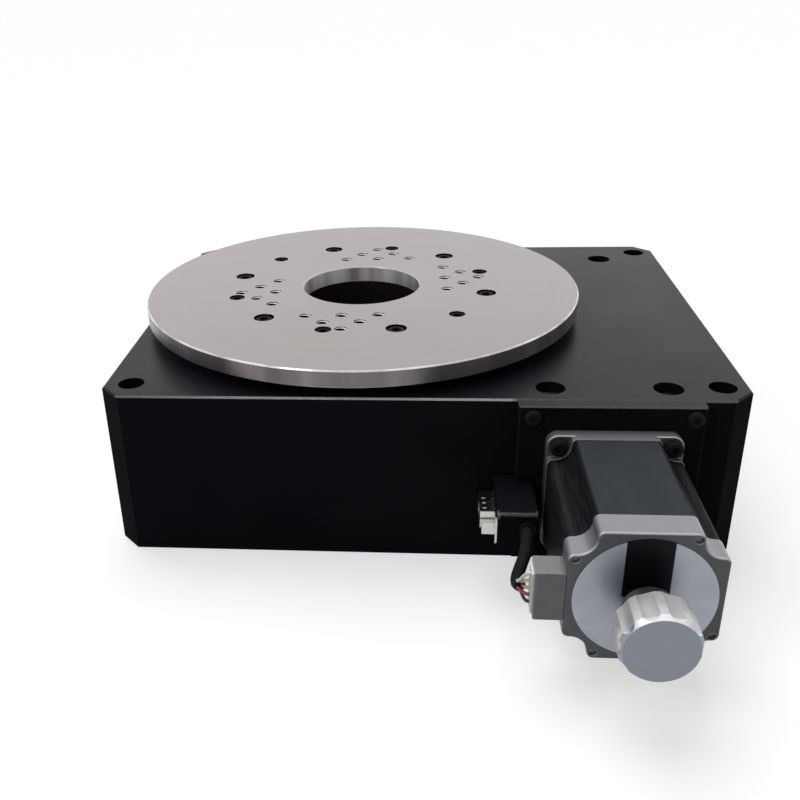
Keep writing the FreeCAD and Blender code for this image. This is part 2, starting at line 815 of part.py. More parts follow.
def make_worm_thread():
    """One right-hand thread on its core, centred on the pitch point that faces the wheel."""
    inner = worm_root - worm_thread_sunk
    start = -worm_length / 2
    corners = [(inner, -1), (worm_tip, -1), (worm_tip, 1), (inner, 1)]
    outline = [V(-r, 0, start + side * tooth_half_width(r - worm_radius)) for r, side in corners]
    profile = Part.makePolygon(outline + outline[:1])
    helix = Part.makeHelix(worm_lead, worm_length, worm_radius)
    helix.rotate(ORIGIN, UP, 180)
    helix.translate(V(0, 0, start))
    thread = Part.Wire(helix.Edges).makePipeShell([profile], True, True)
    half = worm_length / 2 + worm_run_out
    body = disc(2 * worm_root, -half, half).fuse(thread)
    body.rotate(ORIGIN, ALONG_X, -90)
    body.translate(V(worm_x, 0, worm_z))
    return body


def make_worm_shaft():
    """The worm with its bearing seats, collars, lock nut seat and coupling nose."""
    seat = shaft_diameter / 2
    collar = shaft_collar_diameter / 2
    nose = shaft_nose_diameter / 2
    nut = lock_nut_thread / 2
    half = worm_length / 2 + worm_run_out
    front = turned_on_drive([(0, spider_back), (nose, spider_back), (nose, lock_nut_start),
                             (nut, lock_nut_start), (nut, front_bearing_start), (seat, front_bearing_start),
                             (seat, front_bearing_end), (collar, front_bearing_end), (collar, -half),
                             (0, -half)])
    back = turned_on_drive([(0, half), (collar, half), (collar, rear_bearing_start),
                            (seat, rear_bearing_start), (seat, rear_bearing_end), (0, rear_bearing_end)])
    return make_worm_thread().multiFuse([front, back])


def bearing_rings(bore, outer, width, start):
    """A shielded ball bearing on the drive axis: its outer ring with shields, and its inner ring."""
    wall = (outer - bore) * bearing_ring_wall
    inner_edge = bore / 2 + wall
    outer_edge = outer / 2 - wall
    shield_edge = inner_edge + hole_clearance
    end = start + width
    outer_ring = turned_on_drive([(outer / 2, start), (outer / 2, end), (shield_edge, end),
                                  (shield_edge, end - bearing_shield), (outer_edge, end - bearing_shield),
                                  (outer_edge, start + bearing_shield),
                                  (shield_edge, start + bearing_shield), (shield_edge, start)])
    inner_ring = turned_on_drive([(bore / 2, start), (inner_edge, start), (inner_edge, end),
                                  (bore / 2, end)])
    return outer_ring, inner_ring


def bearing_set(shaft, outer, width, starts):
    """Bearings of one size on the drive axis, their outer rings as one group and inner rings as another."""
    pairs = [bearing_rings(shaft + 2 * seat_clearance, outer, width, start) for start in starts]
    return Part.makeCompound([p[0] for p in pairs]), Part.makeCompound([p[1] for p in pairs])


def make_worm_block():
    """The block that carries the worm: bored for its bearings and cut away for the wheel."""
    body = block(worm_x - block_half_width, worm_x + block_half_width, block_front, block_back,
                 block_bottom, block_top)
    seat = worm_bearing_outer + 2 * seat_clearance
    shoulder_end = front_bearing_end + seat_shoulder_width
    tools = [
        rod(chamber_diameter, block_front - tool_past, front_bearing_start),
        rod(seat, front_bearing_start, front_bearing_end),
        rod(seat_shoulder_bore, front_bearing_end, shoulder_end),
        rod(2 * (worm_tip + running_gap), shoulder_end, rear_bearing_start),
        rod(seat, rear_bearing_start, block_back + tool_past),
        disc(wheel_pocket_diameter, block_bottom - tool_past, block_top + tool_past),
    ]
    tools += [disc(tapped(M6), block_top - block_tap_depth, block_top + tool_past, place)
              for place in block_screw_places]
    return body.cut(tools)


def make_bearing_retainer():
    """The ring in front of the worm's front bearings."""
    ring = rod(chamber_diameter - 2 * seat_clearance, lock_nut_start, front_bearing_start)
    return ring.cut(rod(lock_nut_diameter + 2 * running_gap, lock_nut_start, front_bearing_start))


def make_rear_plug():
    """The plug behind the worm's rear bearing, with a slot for a wide screwdriver."""
    plug = rod(worm_bearing_outer, rear_bearing_end, block_back)
    relief = rod(rear_plug_relief_diameter, rear_bearing_end, rear_bearing_end + rear_plug_relief_depth)
    reach = worm_bearing_outer / 2
    slot = block(worm_x - reach, worm_x + reach, block_back - rear_plug_slot, block_back,
                 worm_z - rear_plug_slot / 2, worm_z + rear_plug_slot / 2)
    return plug.cut([relief, slot])


def make_lock_nut():
    """The nut that clamps the front bearings' inner rings, with spanner slots round its edge."""
    nut = rod(lock_nut_diameter, lock_nut_start, front_bearing_start)
    tools = [rod(lock_nut_thread + 2 * seat_clearance, lock_nut_start, front_bearing_start)]
    half = lock_nut_slot_width / 2
    rim = worm_z + lock_nut_diameter / 2
    for k in range(lock_nut_slots):
        slot = block(worm_x - half, worm_x + half, lock_nut_start, lock_nut_start + lock_nut_slot_width,
                     rim - lock_nut_slot_depth, rim + tool_past)
        slot.rotate(V(worm_x, 0, worm_z), ALONG_Y, 360.0 * k / lock_nut_slots)
        tools.append(slot)
    return nut.cut(tools)


def coupling_jaw_set(y0, y1, first_angle, spread):
    """One hub's jaws, each a sector of a ring."""
    jaws = []
    for k in range(coupling_jaws):
        sector = Part.makeCylinder(coupling_diameter / 2, y1 - y0, ORIGIN, UP, spread)
        sector = sector.cut(disc(coupling_jaw_bore, 0, y1 - y0))
        sector.rotate(ORIGIN, UP, first_angle + 360.0 * k / coupling_jaws)
        sector.rotate(ORIGIN, ALONG_X, -90)
        sector.translate(V(worm_x, y0, worm_z))
        jaws.append(sector)
    return jaws


def coupling_hub(start, end, jaws, shaft):
    """A coupling hub with its jaws, bored for its shaft and tapped for its set screw."""
    hub = rod(coupling_diameter, start, end).multiFuse(jaws).removeSplitter()
    tapping = disc(hub_screw_diameter + 2 * thread_clearance, worm_z, worm_z + coupling_diameter,
                   (worm_x, (start + end) / 2))
    return hub.cut([rod(shaft + 2 * seat_clearance, start, end), tapping])


def make_coupling():
    """Two jaw hubs with a rubber spider between them."""
    share = 180.0 / coupling_jaws
    spread = share - spider_leg_angle
    motor_jaws = coupling_jaw_set(spider_front, spider_back - seat_clearance, spider_leg_angle / 2, spread)
    worm_jaws = coupling_jaw_set(spider_front + seat_clearance, spider_back,
                                 share + spider_leg_angle / 2, spread)
    motor_hub = coupling_hub(coupling_front, spider_front, motor_jaws, motor_shaft_diameter)
    worm_hub = coupling_hub(spider_back, coupling_back, worm_jaws, shaft_nose_diameter)
    spider = rod(spider_diameter, spider_front, spider_back)
    bore = rod(spider_bore_diameter, spider_front, spider_back)
    return motor_hub, spider.cut([bore] + motor_jaws + worm_jaws), worm_hub


def hub_set_screw(y, shaft, hub, direction):
    """The set screw of a hub on the drive axis, from the shaft to just under the hub's rim."""
    foot = shaft / 2 + seat_clearance
    screw = set_screw(hub_screw_diameter, hub / 2 - foot - hub_screw_sink, hub_screw_key)
    return stood(screw, V(worm_x, y, worm_z) + direction * foot, direction)


def make_coupling_screws():
    """The set screw of each coupling hub."""
    middle_motor = coupling_front + coupling_hub_length / 2
    middle_worm = spider_back + coupling_hub_length / 2
    return Part.makeCompound([hub_set_screw(middle_motor, motor_shaft_diameter, coupling_diameter, UP),
                              hub_set_screw(middle_worm, shaft_nose_diameter, coupling_diameter, UP)])


def make_adapter_plate():
    """The plate between base and motor, notched on its left edge for the connector box."""
    plate = block(plate_left, plate_right, plate_front, -base_reach, plate_bottom, plate_top)
    front_edges = [e for e in plate.Edges if e.BoundBox.YMax < plate_front + match_tolerance]
    plate = plate.makeChamfer(plate_edge_break, front_edges)
    ahead = plate_front - tool_past
    behind = -base_reach + tool_past
    tools = [
        rod(motor_pilot_diameter + 2 * thread_clearance, ahead, behind),
        block(plate_left - tool_past, box_right + plate_notch_gap, ahead, behind,
              box_bottom - plate_notch_gap, box_top + plate_notch_gap),
    ]
    tools += [rod(clear(M4), ahead, behind, place) for place in plate_screw_places]
    tools += [rod(tapped(M4), ahead, behind, place) for place in motor_screw_places]
    return plate.cut(tools)


def motor_section(y0, y1, inset=0.0):
    """The motor's square frame between two places along Y, with hollowed, rounded corners."""
    half = motor_frame / 2 - inset
    body = block(worm_x - half, worm_x + half, y0, y1, worm_z - half, worm_z + half)
    notches = []
    for i in (-1, 1):
        for j in (-1, 1):
            place = (worm_x + i * motor_notch_offset, worm_z + j * motor_notch_offset)
            notches.append(rod(2 * (motor_notch_radius + inset), y0 - tool_past, y1 + tool_past, place))
    body = body.cut(notches)
    return body.makeFillet(motor_edge_round, edges_of_length(body, "Y", y1 - y0))


def edges_at(shape, y):
    """The edges of a body that lie in one plane across the motor's axis."""
    return [e for e in shape.Edges
            if abs(e.BoundBox.YMin - y) < match_tolerance and abs(e.BoundBox.YMax - y) < match_tolerance]


def make_front_bell():
    """The motor's front bell: thin ears with the mounting holes, thick middle, pilot and bearing seat."""
    half = motor_frame / 2
    ears = block(worm_x - half, worm_x + half, plate_front - motor_ear_thickness, plate_front,
                 worm_z - half, worm_z + half)
    ears = ears.makeFillet(motor_ear_round, edges_of_length(ears, "Y", motor_ear_thickness))
    ears = ears.makeFillet(ear_edge_round, edges_at(ears, plate_front - motor_ear_thickness))
    pilot_end = plate_front + motor_pilot_height
    body = ears.multiFuse([motor_section(stator_front, plate_front),
                           rod(motor_pilot_diameter, plate_front, pilot_end)])
    tools = [
        rod(motor_bearing_outer + 2 * seat_clearance, stator_front - tool_past,
            stator_front + motor_bearing_width),
        rod(motor_shaft_hole, stator_front, pilot_end + tool_past),
    ]
    tools += [rod(clear(M4), stator_front, pilot_end, place) for place in motor_screw_places]
    tools += [rod(tie_screw_diameter + 2 * thread_clearance, stator_front - tool_past,
                  stator_front + tie_tap_depth, place) for place in tie_screw_places()]
    return body.removeSplitter().cut(tools)


def make_stator():
    """The laminated body: poles round the rotor, recessed at both ends for the windings."""
    body = motor_section(stator_rear, stator_front, stator_inset)
    tools = [
        rod(rotor_diameter + 2 * rotor_gap, stator_rear, stator_front),
        rod(2 * winding_radius, stator_rear, stator_rear + winding_length),
        rod(2 * winding_radius, stator_front - winding_length, stator_front),
    ]
    half = stator_slot_width / 2
    for k in range(stator_poles):
        slot = block(worm_x, worm_x + winding_radius, stator_rear, stator_front,
                     worm_z - half, worm_z + half)
        slot.rotate(V(worm_x, 0, worm_z), ALONG_Y, 360.0 * (k + 0.5) / stator_poles)
        tools.append(slot)
    tools += [rod(tie_screw_diameter + 2 * hole_clearance, stator_rear, stator_front, place)
              for place in tie_screw_places()]
    return body.cut(tools)


def make_windings():
    """The ends of the windings, a ring of copper in each end of the stator."""
    outer = 2 * (winding_radius - hole_clearance)
    rings = []
    for start in (stator_rear + hole_clearance, stator_front - winding_length):
        end = start + winding_length - hole_clearance
        rings.append(rod(outer, start, end).cut(rod(winding_bore, start, end)))
    return Part.makeCompound(rings)


def make_rear_bell():
    """The cast rear bell: hollow corners, round rear edge, sunk screw holes, bearing seat, shaft hole."""
    body = motor_section(motor_rear, stator_rear)
    body = body.makeFillet(bell_edge_round, edges_at(body, motor_rear))
    tools = [
        rod(motor_bearing_outer + 2 * seat_clearance, stator_rear - motor_bearing_width,
            stator_rear + tool_past),
        rod(motor_shaft_hole, motor_rear - tool_past, stator_rear),
    ]
    tools += [rod(tie_screw_diameter + 2 * thread_clearance, motor_rear - tool_past, stator_rear + tool_past,
                  place) for place in tie_screw_places()]
    return body.cut(tools)


def make_tie_screws():
    """The four long screws that hold bells and stator together, sunk in the rear bell."""
    start = motor_rear + tie_screw_sink
    end = stator_front + tie_tap_depth - hole_clearance
    return Part.makeCompound([rod(tie_screw_diameter, start, end, place) for place in tie_screw_places()])


def make_motor_shaft():
    """The motor shaft through both bells, thicker between them, with the knob on its rear end."""
    thin = motor_shaft_diameter / 2
    thick = motor_bearing_bore / 2
    thick_start = stator_rear - motor_bearing_width
    thick_end = stator_front + motor_bearing_width
    rear_end = knob_back - knob_shaft_depth
    front_end = plate_front + motor_shaft_length
    return turned_on_drive([(0, rear_end), (thin, rear_end), (thin, thick_start), (thick, thick_start),
                            (thick, thick_end), (thin, thick_end), (thin, front_end), (0, front_end)])


def make_rotor():
    """The rotor: two cups with a narrower magnet between them."""
    y0 = stator_rear + winding_length + rotor_end_gap
    y1 = stator_front - winding_length - rotor_end_gap
    waist_start = (y0 + y1 - rotor_waist_width) / 2
    waist_end = (y0 + y1 + rotor_waist_width) / 2
    rim = rotor_diameter / 2
    waist = rim - rotor_waist_depth
    bore = motor_bearing_bore / 2 + seat_clearance
    return turned_on_drive([(bore, y0), (rim, y0), (rim, waist_start), (waist, waist_start),
                            (waist, waist_end), (rim, waist_end), (rim, y1), (bore, y1)])


def make_rear_disc():
    """The thin silver disc on the rear bell, and the plain black band let into it."""
    face = motor_rear - rear_disc_thickness
    whole = rod(rear_disc_diameter, face, motor_rear).cut(rod(motor_shaft_hole, face, motor_rear))
    half = rear_band_width / 2
    band = block(worm_x - half, worm_x + half, face, motor_rear, worm_z + rear_band_rise,
                 worm_z + rear_disc_diameter)
    return whole.cut(band), whole.common(band)


def make_hand_knob():
    """The fluted knob: flutes run from its back and end round, just short of the chamfer."""
    rim = knob_diameter / 2
    hub = knob_hub_diameter / 2
    body = turned_on_drive([(0, knob_front), (rim - knob_chamfer, knob_front),
                            (rim, knob_front + knob_chamfer), (rim, knob_back), (hub, knob_back),
                            (hub, knob_hub_back), (0, knob_hub_back)])
    flute_distance = rim + flute_radius - flute_depth
    end_reach = math.sqrt(flute_radius ** 2 - (flute_distance - rim) ** 2)
    flute_start = knob_front + knob_chamfer + flute_stop + end_reach
    tools = []
    for k in range(flute_count):
        angle = 2 * math.pi * (k + 0.5) / flute_count
        place = (worm_x + flute_distance * math.cos(angle), worm_z + flute_distance * math.sin(angle))
        flute = rod(2 * flute_radius, flute_start, knob_back + tool_past, place)
        round_end = Part.makeSphere(flute_radius, V(place[0], flute_start, place[1]))
        tools.append(flute.fuse(round_end))
    tools.append(rod(motor_shaft_diameter + 2 * seat_clearance, knob_back - knob_shaft_depth, knob_hub_back))
    tools.append(disc(hub_screw_diameter + 2 * thread_clearance, worm_z - knob_diameter, worm_z,
                      (worm_x, knob_back + knob_hub_length / 2)))
    return body.cut(tools)


def make_motor_socket():
    """The connector housing on the left of the rear bell, open to the left."""
    body = block(socket_left, socket_right, motor_rear, motor_rear + socket_depth, socket_bottom, socket_top)
    upright = edges_of_length(body, "Z", socket_top - socket_bottom)
    outer_edges = [e for e in upright if e.BoundBox.XMax < socket_right - match_tolerance]
    body = body.makeFillet(socket_round, outer_edges)
    cavity = block(socket_left - tool_past, socket_left + plug_sink, motor_rear + socket_wall,
                   motor_rear + socket_depth - socket_wall, socket_bottom + socket_wall,
                   socket_top - socket_wall)
    return body.cut(cavity)


def make_motor_plug():
    """The plug in the motor's connector."""
    wall = socket_wall + plug_gap
    return block(socket_left - plug_stand_out, socket_left + plug_sink, motor_rear + wall,
                 motor_rear + socket_depth - wall, socket_bottom + wall, socket_top - wall)


def route_wire(spots):
    """A path of straight runs joined by the largest tangent arcs that fit."""
    edges = []
    radii = []
    start = spots[0]
    for before, corner, after in zip(spots, spots[1:], spots[2:]):
        back = before - corner
        onward = after - corner
        reach = arc_share * min(back.Length, onward.Length)
        back.normalize()
        onward.normalize()
        half_turn = (math.pi - back.getAngle(onward)) / 2
        radius = reach / math.tan(half_turn)
        inward = back + onward
        inward.normalize()
        first = corner + back * reach
        last = corner + onward * reach
        middle = corner + inward * (radius / math.cos(half_turn) - radius)
        edges.append(Part.LineSegment(start, first).toShape())
        edges.append(Part.Arc(first, middle, last).toShape())
        radii.append(round(radius, 1))
        start = last
    edges.append(Part.LineSegment(start, spots[-1]).toShape())
    print("arc radii", radii)
    return Part.Wire(edges)


def tube_along(spots, diameter):
    """A round solid along a route."""
    path = route_wire(spots)
    section = Part.Wire(Part.makeCircle(diameter / 2, spots[0], spots[1] - spots[0]))
    tube = path.makePipeShell([section], True, True)
    print("tube volume", round(tube.Volume, 1), "of", round(math.pi * diameter ** 2 / 4 * path.Length, 1))
    return tube


def make_sleeve():
    """The sleeve round the motor's lead, from the loose wires to the connector box."""
    return tube_along([V(*spot) for spot in sleeve_route], sleeve_diameter)


def make_wires():
    """The motor's wires: straight out of the plug, then round into the sleeve."""
    mouth = V(*sleeve_route[0])
    onward = V(*sleeve_route[1]) - mouth
    onward.normalize()
    turn = FreeCAD.Rotation(ALONG_Y, onward)
    plug_face = socket_left - plug_stand_out
    turn_x = mouth.x - wire_turn_left
    plug_y = motor_rear + socket_depth / 2
    plug_z = (socket_bottom + socket_top) / 2
    count = len(wire_bundle_angles)
    wires = []
    for k, degrees in enumerate(wire_bundle_angles):
        angle = math.radians(degrees)
        spoke = V(wire_bundle_radius * math.cos(angle), 0, wire_bundle_radius * math.sin(angle))
        end = mouth + turn.multVec(spoke)
        before_end = end - onward * wire_last_run
        z = plug_z + (k - (count - 1) / 2) * wire_pitch
        wires.append(tube_along([V(plug_face, plug_y, z), V(turn_x, plug_y, z), before_end, end],
                                wire_diameter))
    return Part.makeCompound(wires)


def sleeve_end_place():
    """Where the sleeve enters the connector box, in X and Z."""
    return (sleeve_route[-1][0], sleeve_route[-1][2])


def make_grommet():
    """The grommet round the lead in the box's front wall."""
    face = box_front - grommet_flange_thickness
    inside = box_front + box_wall
    body = rod(grommet_flange_diameter, face, box_front, sleeve_end_place())
    body = body.fuse(rod(grommet_neck_diameter, box_front, inside, sleeve_end_place()))
    return body.removeSplitter().cut(make_sleeve_path_tool())


def make_sleeve_path_tool():
    """The sleeve grown by its seat clearance, to bore the grommet along the lead's own direction."""
    before = V(*sleeve_route[-2])
    end = V(*sleeve_route[-1])
    onward = end - before
    return Part.makeCylinder(sleeve_diameter / 2 + seat_clearance, 2 * onward.Length, before, onward)


def make_connector_box():
    """The black box beside the motor: open at the back, with a screwed tab below it."""
    back = -base_reach
    body = block(box_left, box_right, box_front, back, box_bottom, box_top)
    front_edges = [e for e in body.Edges if e.BoundBox.YMax < box_front + match_tolerance]
    body = body.makeFillet(box_edge_round, front_edges)
    tab = block(box_left, box_left + box_tab_width, back - box_tab_thickness, back,
                box_bottom - box_tab_drop, box_bottom)
    body = body.fuse(tab).removeSplitter()
    past_wall = box_left + box_wall + tool_past
    tools = [
        block(box_left + box_wall, box_right - box_wall, box_front + box_wall, back + tool_past,
              box_bottom + box_wall, box_top - box_wall),
        dsub_inside(box_left - tool_past, past_wall, 0),
        rod(clear(M3), back - box_tab_thickness - tool_past, back + tool_past, box_screw_place),
        rod(grommet_neck_diameter + 2 * seat_clearance, box_front - tool_past,
            box_front + box_wall + tool_past, sleeve_end_place()),
    ]
    tools += [bar(jackpost_shank + 2 * thread_clearance, box_left - tool_past, past_wall, (y, dsub_z))
              for y in jackpost_places]
    return body.cut(tools)


def d_prism(length, height, round_radius, x0, x1):
    """A D-shaped body along X, its long side upward."""
    low = length / 2 - height * math.tan(math.radians(dsub_side_slope))
    z0 = dsub_z - height / 2
    z1 = dsub_z + height / 2
    points = [V(x0, dsub_y - low, z0), V(x0, dsub_y + low, z0),
              V(x0, dsub_y + length / 2, z1), V(x0, dsub_y - length / 2, z1)]
    body = prism(points, V(x1 - x0, 0, 0))
    return body.makeFillet(round_radius, edges_of_length(body, "X", x1 - x0))


def dsub_inside(x0, x1, gap):
    """The inside of the connector's shell, drawn in by a gap."""
    less = 2 * (dsub_shell_wall + gap)
    return d_prism(dsub_shell_length - less, dsub_shell_height - less,
                   dsub_shell_round - dsub_shell_wall, x0, x1)


def make_dsub_shell():
    """The connector's plated flange and shell."""
    half_length = dsub_flange_length / 2
    half_height = dsub_flange_height / 2
    flange = block(dsub_face, box_left, dsub_y - half_length, dsub_y + half_length,
                   dsub_z - half_height, dsub_z + half_height)
    flange = flange.makeFillet(dsub_flange_round, edges_of_length(flange, "X", dsub_flange_thickness))
    mouth = dsub_face - dsub_shell_reach
    shell = d_prism(dsub_shell_length, dsub_shell_height, dsub_shell_round, mouth, dsub_face)
    tools = [dsub_inside(mouth - tool_past, box_left + tool_past, 0)]
    tools += [bar(jackpost_shank + 2 * thread_clearance, dsub_face - tool_past, box_left + tool_past,
                  (y, dsub_z)) for y in jackpost_places]
    return flange.fuse(shell).removeSplitter().cut(tools)


def dsub_pin(diameter, place):
    """A pin's cylinder, from its tip to inside the box."""
    return bar(diameter, dsub_face - dsub_pin_reach, box_left + box_wall + dsub_pin_tail, place)


def make_dsub_insulator():
    """The insulator that carries the pins."""
    body = dsub_inside(dsub_face - dsub_insulator_stand, box_left + box_wall + dsub_insulator_tail,
                       seat_clearance)
    return body.cut([dsub_pin(dsub_pin_diameter + 2 * seat_clearance, place) for place in pin_places()])


def make_dsub_pins():
    """The connector's nine pins."""
    return Part.makeCompound([dsub_pin(dsub_pin_diameter, place) for place in pin_places()])


def make_jackposts():
    """The two hexagonal jackposts on the connector's flange."""
    post = hexagon(jackpost_size, 0, jackpost_reach)
    shank = disc(jackpost_shank, -dsub_flange_thickness - box_wall - jackpost_shank_tail, 0)
    post = post.fuse(shank).cut(disc(jackpost_bore, jackpost_reach - jackpost_bore_depth, jackpost_reach))
    return group(post, [V(dsub_face, y, dsub_z) for y in jackpost_places], LEFT)


def make_home_sensor():
    """The forked sensor on the bottom cover that the flag passes through once a turn."""
    z0 = cover_thickness
    z1 = z0 + sensor_height
    r = sensor_circle_radius
    half = sensor_width / 2
    half_length = sensor_length / 2
    foot = block(r - half, r + half, -half_length, half_length, z0, z0 + sensor_foot)
    fork = block(r - half, r + half, -sensor_fork_length / 2, sensor_fork_length / 2, z0, z1)
    slot = block(r - sensor_slot_width / 2, r + sensor_slot_width / 2, -half_length, half_length,
                 z1 - sensor_slot_depth, z1 + tool_past)
    body = foot.fuse(fork).removeSplitter().cut(slot)
    body.rotate(ORIGIN, UP, sensor_angle)
    return body.cut([disc(clear(M3), z0 - tool_past, z0 + sensor_foot + tool_past, place)
                     for place in sensor_screw_places])


def make_home_flag():
    """The bent flag under the wheel carrier."""
    r = sensor_circle_radius
    half = flag_thickness / 2
    half_length = flag_length / 2
    blade = block(r - half, r + half, -half_length, half_length, carrier_bottom - flag_drop, carrier_bottom)
    foot = block(r - flag_foot_reach, r, -half_length, half_length,
                 carrier_bottom - flag_foot, carrier_bottom)
    body = blade.fuse(foot).removeSplitter()
    body.rotate(ORIGIN, UP, flag_angle)
    return body.cut(disc(clear(M3), carrier_bottom - flag_foot - tool_past, carrier_bottom + tool_past,
                         flag_screw_place))


def make_screws():
    """Every group of screws under its own name."""
    cover = [V(x, y, 0) for x, y in cover_screw_places]
    clamp = [V(x, y, recess_floor) for x, y in clamp_screw_places]
    table = [V(x, y, table_top - table_counterbore_depth) for x, y in table_screw_places]
    table_set = [V(x, y, table_bottom) for x, y in set_screw_places]
    carrier = [V(x, y, carrier_screw_seat(M5)) for x, y in carrier_screw_places]
    wheel = [V(x, y, carrier_screw_seat(M4)) for x, y in wheel_screw_places]
    worm_block = [V(x, y, base_height - block_counterbore_depth) for x, y in block_screw_places]
    plate = [V(x, plate_front, z) for x, z in plate_screw_places]
    motor = [V(x, plate_front - motor_ear_thickness, z) for x, z in motor_screw_places]
    box = V(box_screw_place[0], -base_reach - box_tab_thickness, box_screw_place[1])
    sensor = [V(x, y, cover_thickness + sensor_foot) for x, y in sensor_screw_places]
    flag = V(flag_screw_place[0], flag_screw_place[1], carrier_bottom - flag_foot)
    knob_screw_y = knob_back + knob_hub_length / 2
    carrier_screw_length = wheel_bottom - carrier_screw_seat(M5) + carrier_screw_hold
    wheel_screw_length = wheel_bottom - carrier_screw_seat(M4) + wheel_screw_hold
    set_screw_length = table_thickness - set_screw_sink
    return {
        "bottom_cover_screws": group(flat_screw(M3, cover_screw_length), cover, DOWN),
        "clamp_ring_screws": group(flat_screw(M4, clamp_screw_length), clamp, UP),
        "table_screws": group(cap_screw(M5, table_screw_length), table, UP),
        "table_set_screws": group(set_screw(set_screw_diameter, set_screw_length, set_screw_key),
                                  table_set, UP),
        "wheel_carrier_screws": group(cap_screw(M5, carrier_screw_length), carrier, DOWN),
        "worm_wheel_screws": group(cap_screw(M4, wheel_screw_length), wheel, DOWN),
        "worm_block_screws": group(cap_screw(M6, block_screw_length), worm_block, UP),
        "adapter_plate_screws": group(button_screw(M4, plate_screw_length), plate, FRONT),
        "motor_mounting_screws": group(cap_screw(M4, motor_screw_length), motor, FRONT),
        "connector_box_screw": stood(cap_screw(M3, box_screw_length), box, FRONT),
        "home_sensor_screws": group(cap_screw(M3, sensor_screw_length), sensor, UP),
        "home_flag_screw": stood(cap_screw(M3, flag_screw_length), flag, DOWN),
        "coupling_set_screws": make_coupling_screws(),
        "hand_knob_set_screw": hub_set_screw(knob_screw_y, motor_shaft_diameter, knob_hub_diameter, DOWN),
        "motor_tie_screws": make_tie_screws(),
    }


def make_parts():
    """Every piece of the stage under its own name."""
    outer_ring, inner_ring = make_bearing_rings()
    worm_outer, worm_inner = bearing_set(
        shaft_diameter, worm_bearing_outer, worm_bearing_width,
        (front_bearing_start, front_bearing_start + worm_bearing_width, rear_bearing_start))
    motor_outer, motor_inner = bearing_set(
        motor_bearing_bore, motor_bearing_outer, motor_bearing_width,
        (stator_rear - motor_bearing_width, stator_front))
    motor_hub, spider, worm_hub = make_coupling()
    rear_disc, rear_band = make_rear_disc()
    parts = {
        "housing": make_housing(),
        "bottom_cover": make_bottom_cover(),
        "bearing_clamp_ring": make_clamp_ring(),
        "main_bearing_outer_ring": outer_ring,
        "main_bearing_inner_ring": inner_ring,
        "main_bearing_rollers": make_rollers(),
        "main_bearing_cage": make_roller_cage(),
        "table_top": make_table_top(),
        "spindle": make_spindle(),
        "wheel_carrier": make_wheel_carrier(),
        "worm_wheel": make_worm_wheel(),
        "worm_block": make_worm_block(),
        "worm_shaft": make_worm_shaft(),
        "worm_bearing_outer_rings": worm_outer,
        "worm_bearing_inner_rings": worm_inner,
        "worm_bearing_retainer": make_bearing_retainer(),
        "worm_rear_plug": make_rear_plug(),
        "worm_lock_nut": make_lock_nut(),
        "coupling_hub_motor": motor_hub,
        "coupling_spider": spider,
        "coupling_hub_worm": worm_hub,
        "motor_adapter_plate": make_adapter_plate(),
        "motor_front_bell": make_front_bell(),
        "motor_stator": make_stator(),
        "motor_windings": make_windings(),
        "motor_rear_bell": make_rear_bell(),
        "motor_bearing_outer_rings": motor_outer,
        "motor_bearing_inner_rings": motor_inner,
        "motor_shaft": make_motor_shaft(),
        "motor_rotor": make_rotor(),
        "motor_rear_disc": rear_disc,
        "motor_rear_band": rear_band,
        "hand_knob": make_hand_knob(),
        "motor_socket": make_motor_socket(),
        "motor_plug": make_motor_plug(),
        "motor_lead_wires": make_wires(),
        "motor_lead_sleeve": make_sleeve(),
        "motor_lead_grommet": make_grommet(),
        "connector_box": make_connector_box(),
        "dsub_shell": make_dsub_shell(),
        "dsub_insulator": make_dsub_insulator(),
        "dsub_pins": make_dsub_pins(),
        "dsub_jackposts": make_jackposts(),
        "home_sensor": make_home_sensor(),
        "home_flag": make_home_flag(),
    }
    parts.update(make_screws())
    return parts


os.makedirs("parts", exist_ok=True)
for name, shape in make_parts().items():
    shape.exportStep("parts/" + name + ".step")
    print(name, "solids", len(shape.Solids), "valid", shape.isValid(), "volume", round(shape.Volume))
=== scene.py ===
"""Looks of a motorized rotation stage: the finishes of its machined pieces, its threaded screws, its fluted
hand knob and its motor's lead."""
import json
import math

import bpy
import numpy as np
from mathutils import Matrix, Vector


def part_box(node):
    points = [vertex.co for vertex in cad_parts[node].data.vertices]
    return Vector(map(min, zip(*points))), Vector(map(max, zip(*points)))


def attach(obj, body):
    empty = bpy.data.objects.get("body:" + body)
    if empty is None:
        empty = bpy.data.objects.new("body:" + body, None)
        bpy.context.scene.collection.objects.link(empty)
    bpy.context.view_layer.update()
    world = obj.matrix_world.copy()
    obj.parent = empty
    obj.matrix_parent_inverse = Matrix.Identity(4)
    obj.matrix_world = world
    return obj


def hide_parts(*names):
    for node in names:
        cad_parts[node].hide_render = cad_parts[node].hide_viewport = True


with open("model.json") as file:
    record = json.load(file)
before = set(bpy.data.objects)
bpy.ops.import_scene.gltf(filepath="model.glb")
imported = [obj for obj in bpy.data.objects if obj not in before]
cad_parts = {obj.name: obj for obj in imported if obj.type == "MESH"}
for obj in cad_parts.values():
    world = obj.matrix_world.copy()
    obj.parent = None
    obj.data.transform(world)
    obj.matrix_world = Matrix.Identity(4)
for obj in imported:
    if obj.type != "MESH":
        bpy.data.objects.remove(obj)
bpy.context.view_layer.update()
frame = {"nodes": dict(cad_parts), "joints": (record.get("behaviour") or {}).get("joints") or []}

# The base is a block of aluminium milled from the solid, blasted and anodised black. A cover of the same
# metal closes it from below, held by six countersunk screws of blackened steel.
MM = 0.001
BEVEL_SLOPE = 0.7
# Sizes of the painted highlight on the base's top front bevel: its reach, the length over which it fades in
# from the base's left end, and the margin where it dims beside the plate.
BASE_BEVEL_REACH = 1.5 * MM
HIGHLIGHT_FADE_LENGTH = 100 * MM
PLATE_SIDE = 3 * MM


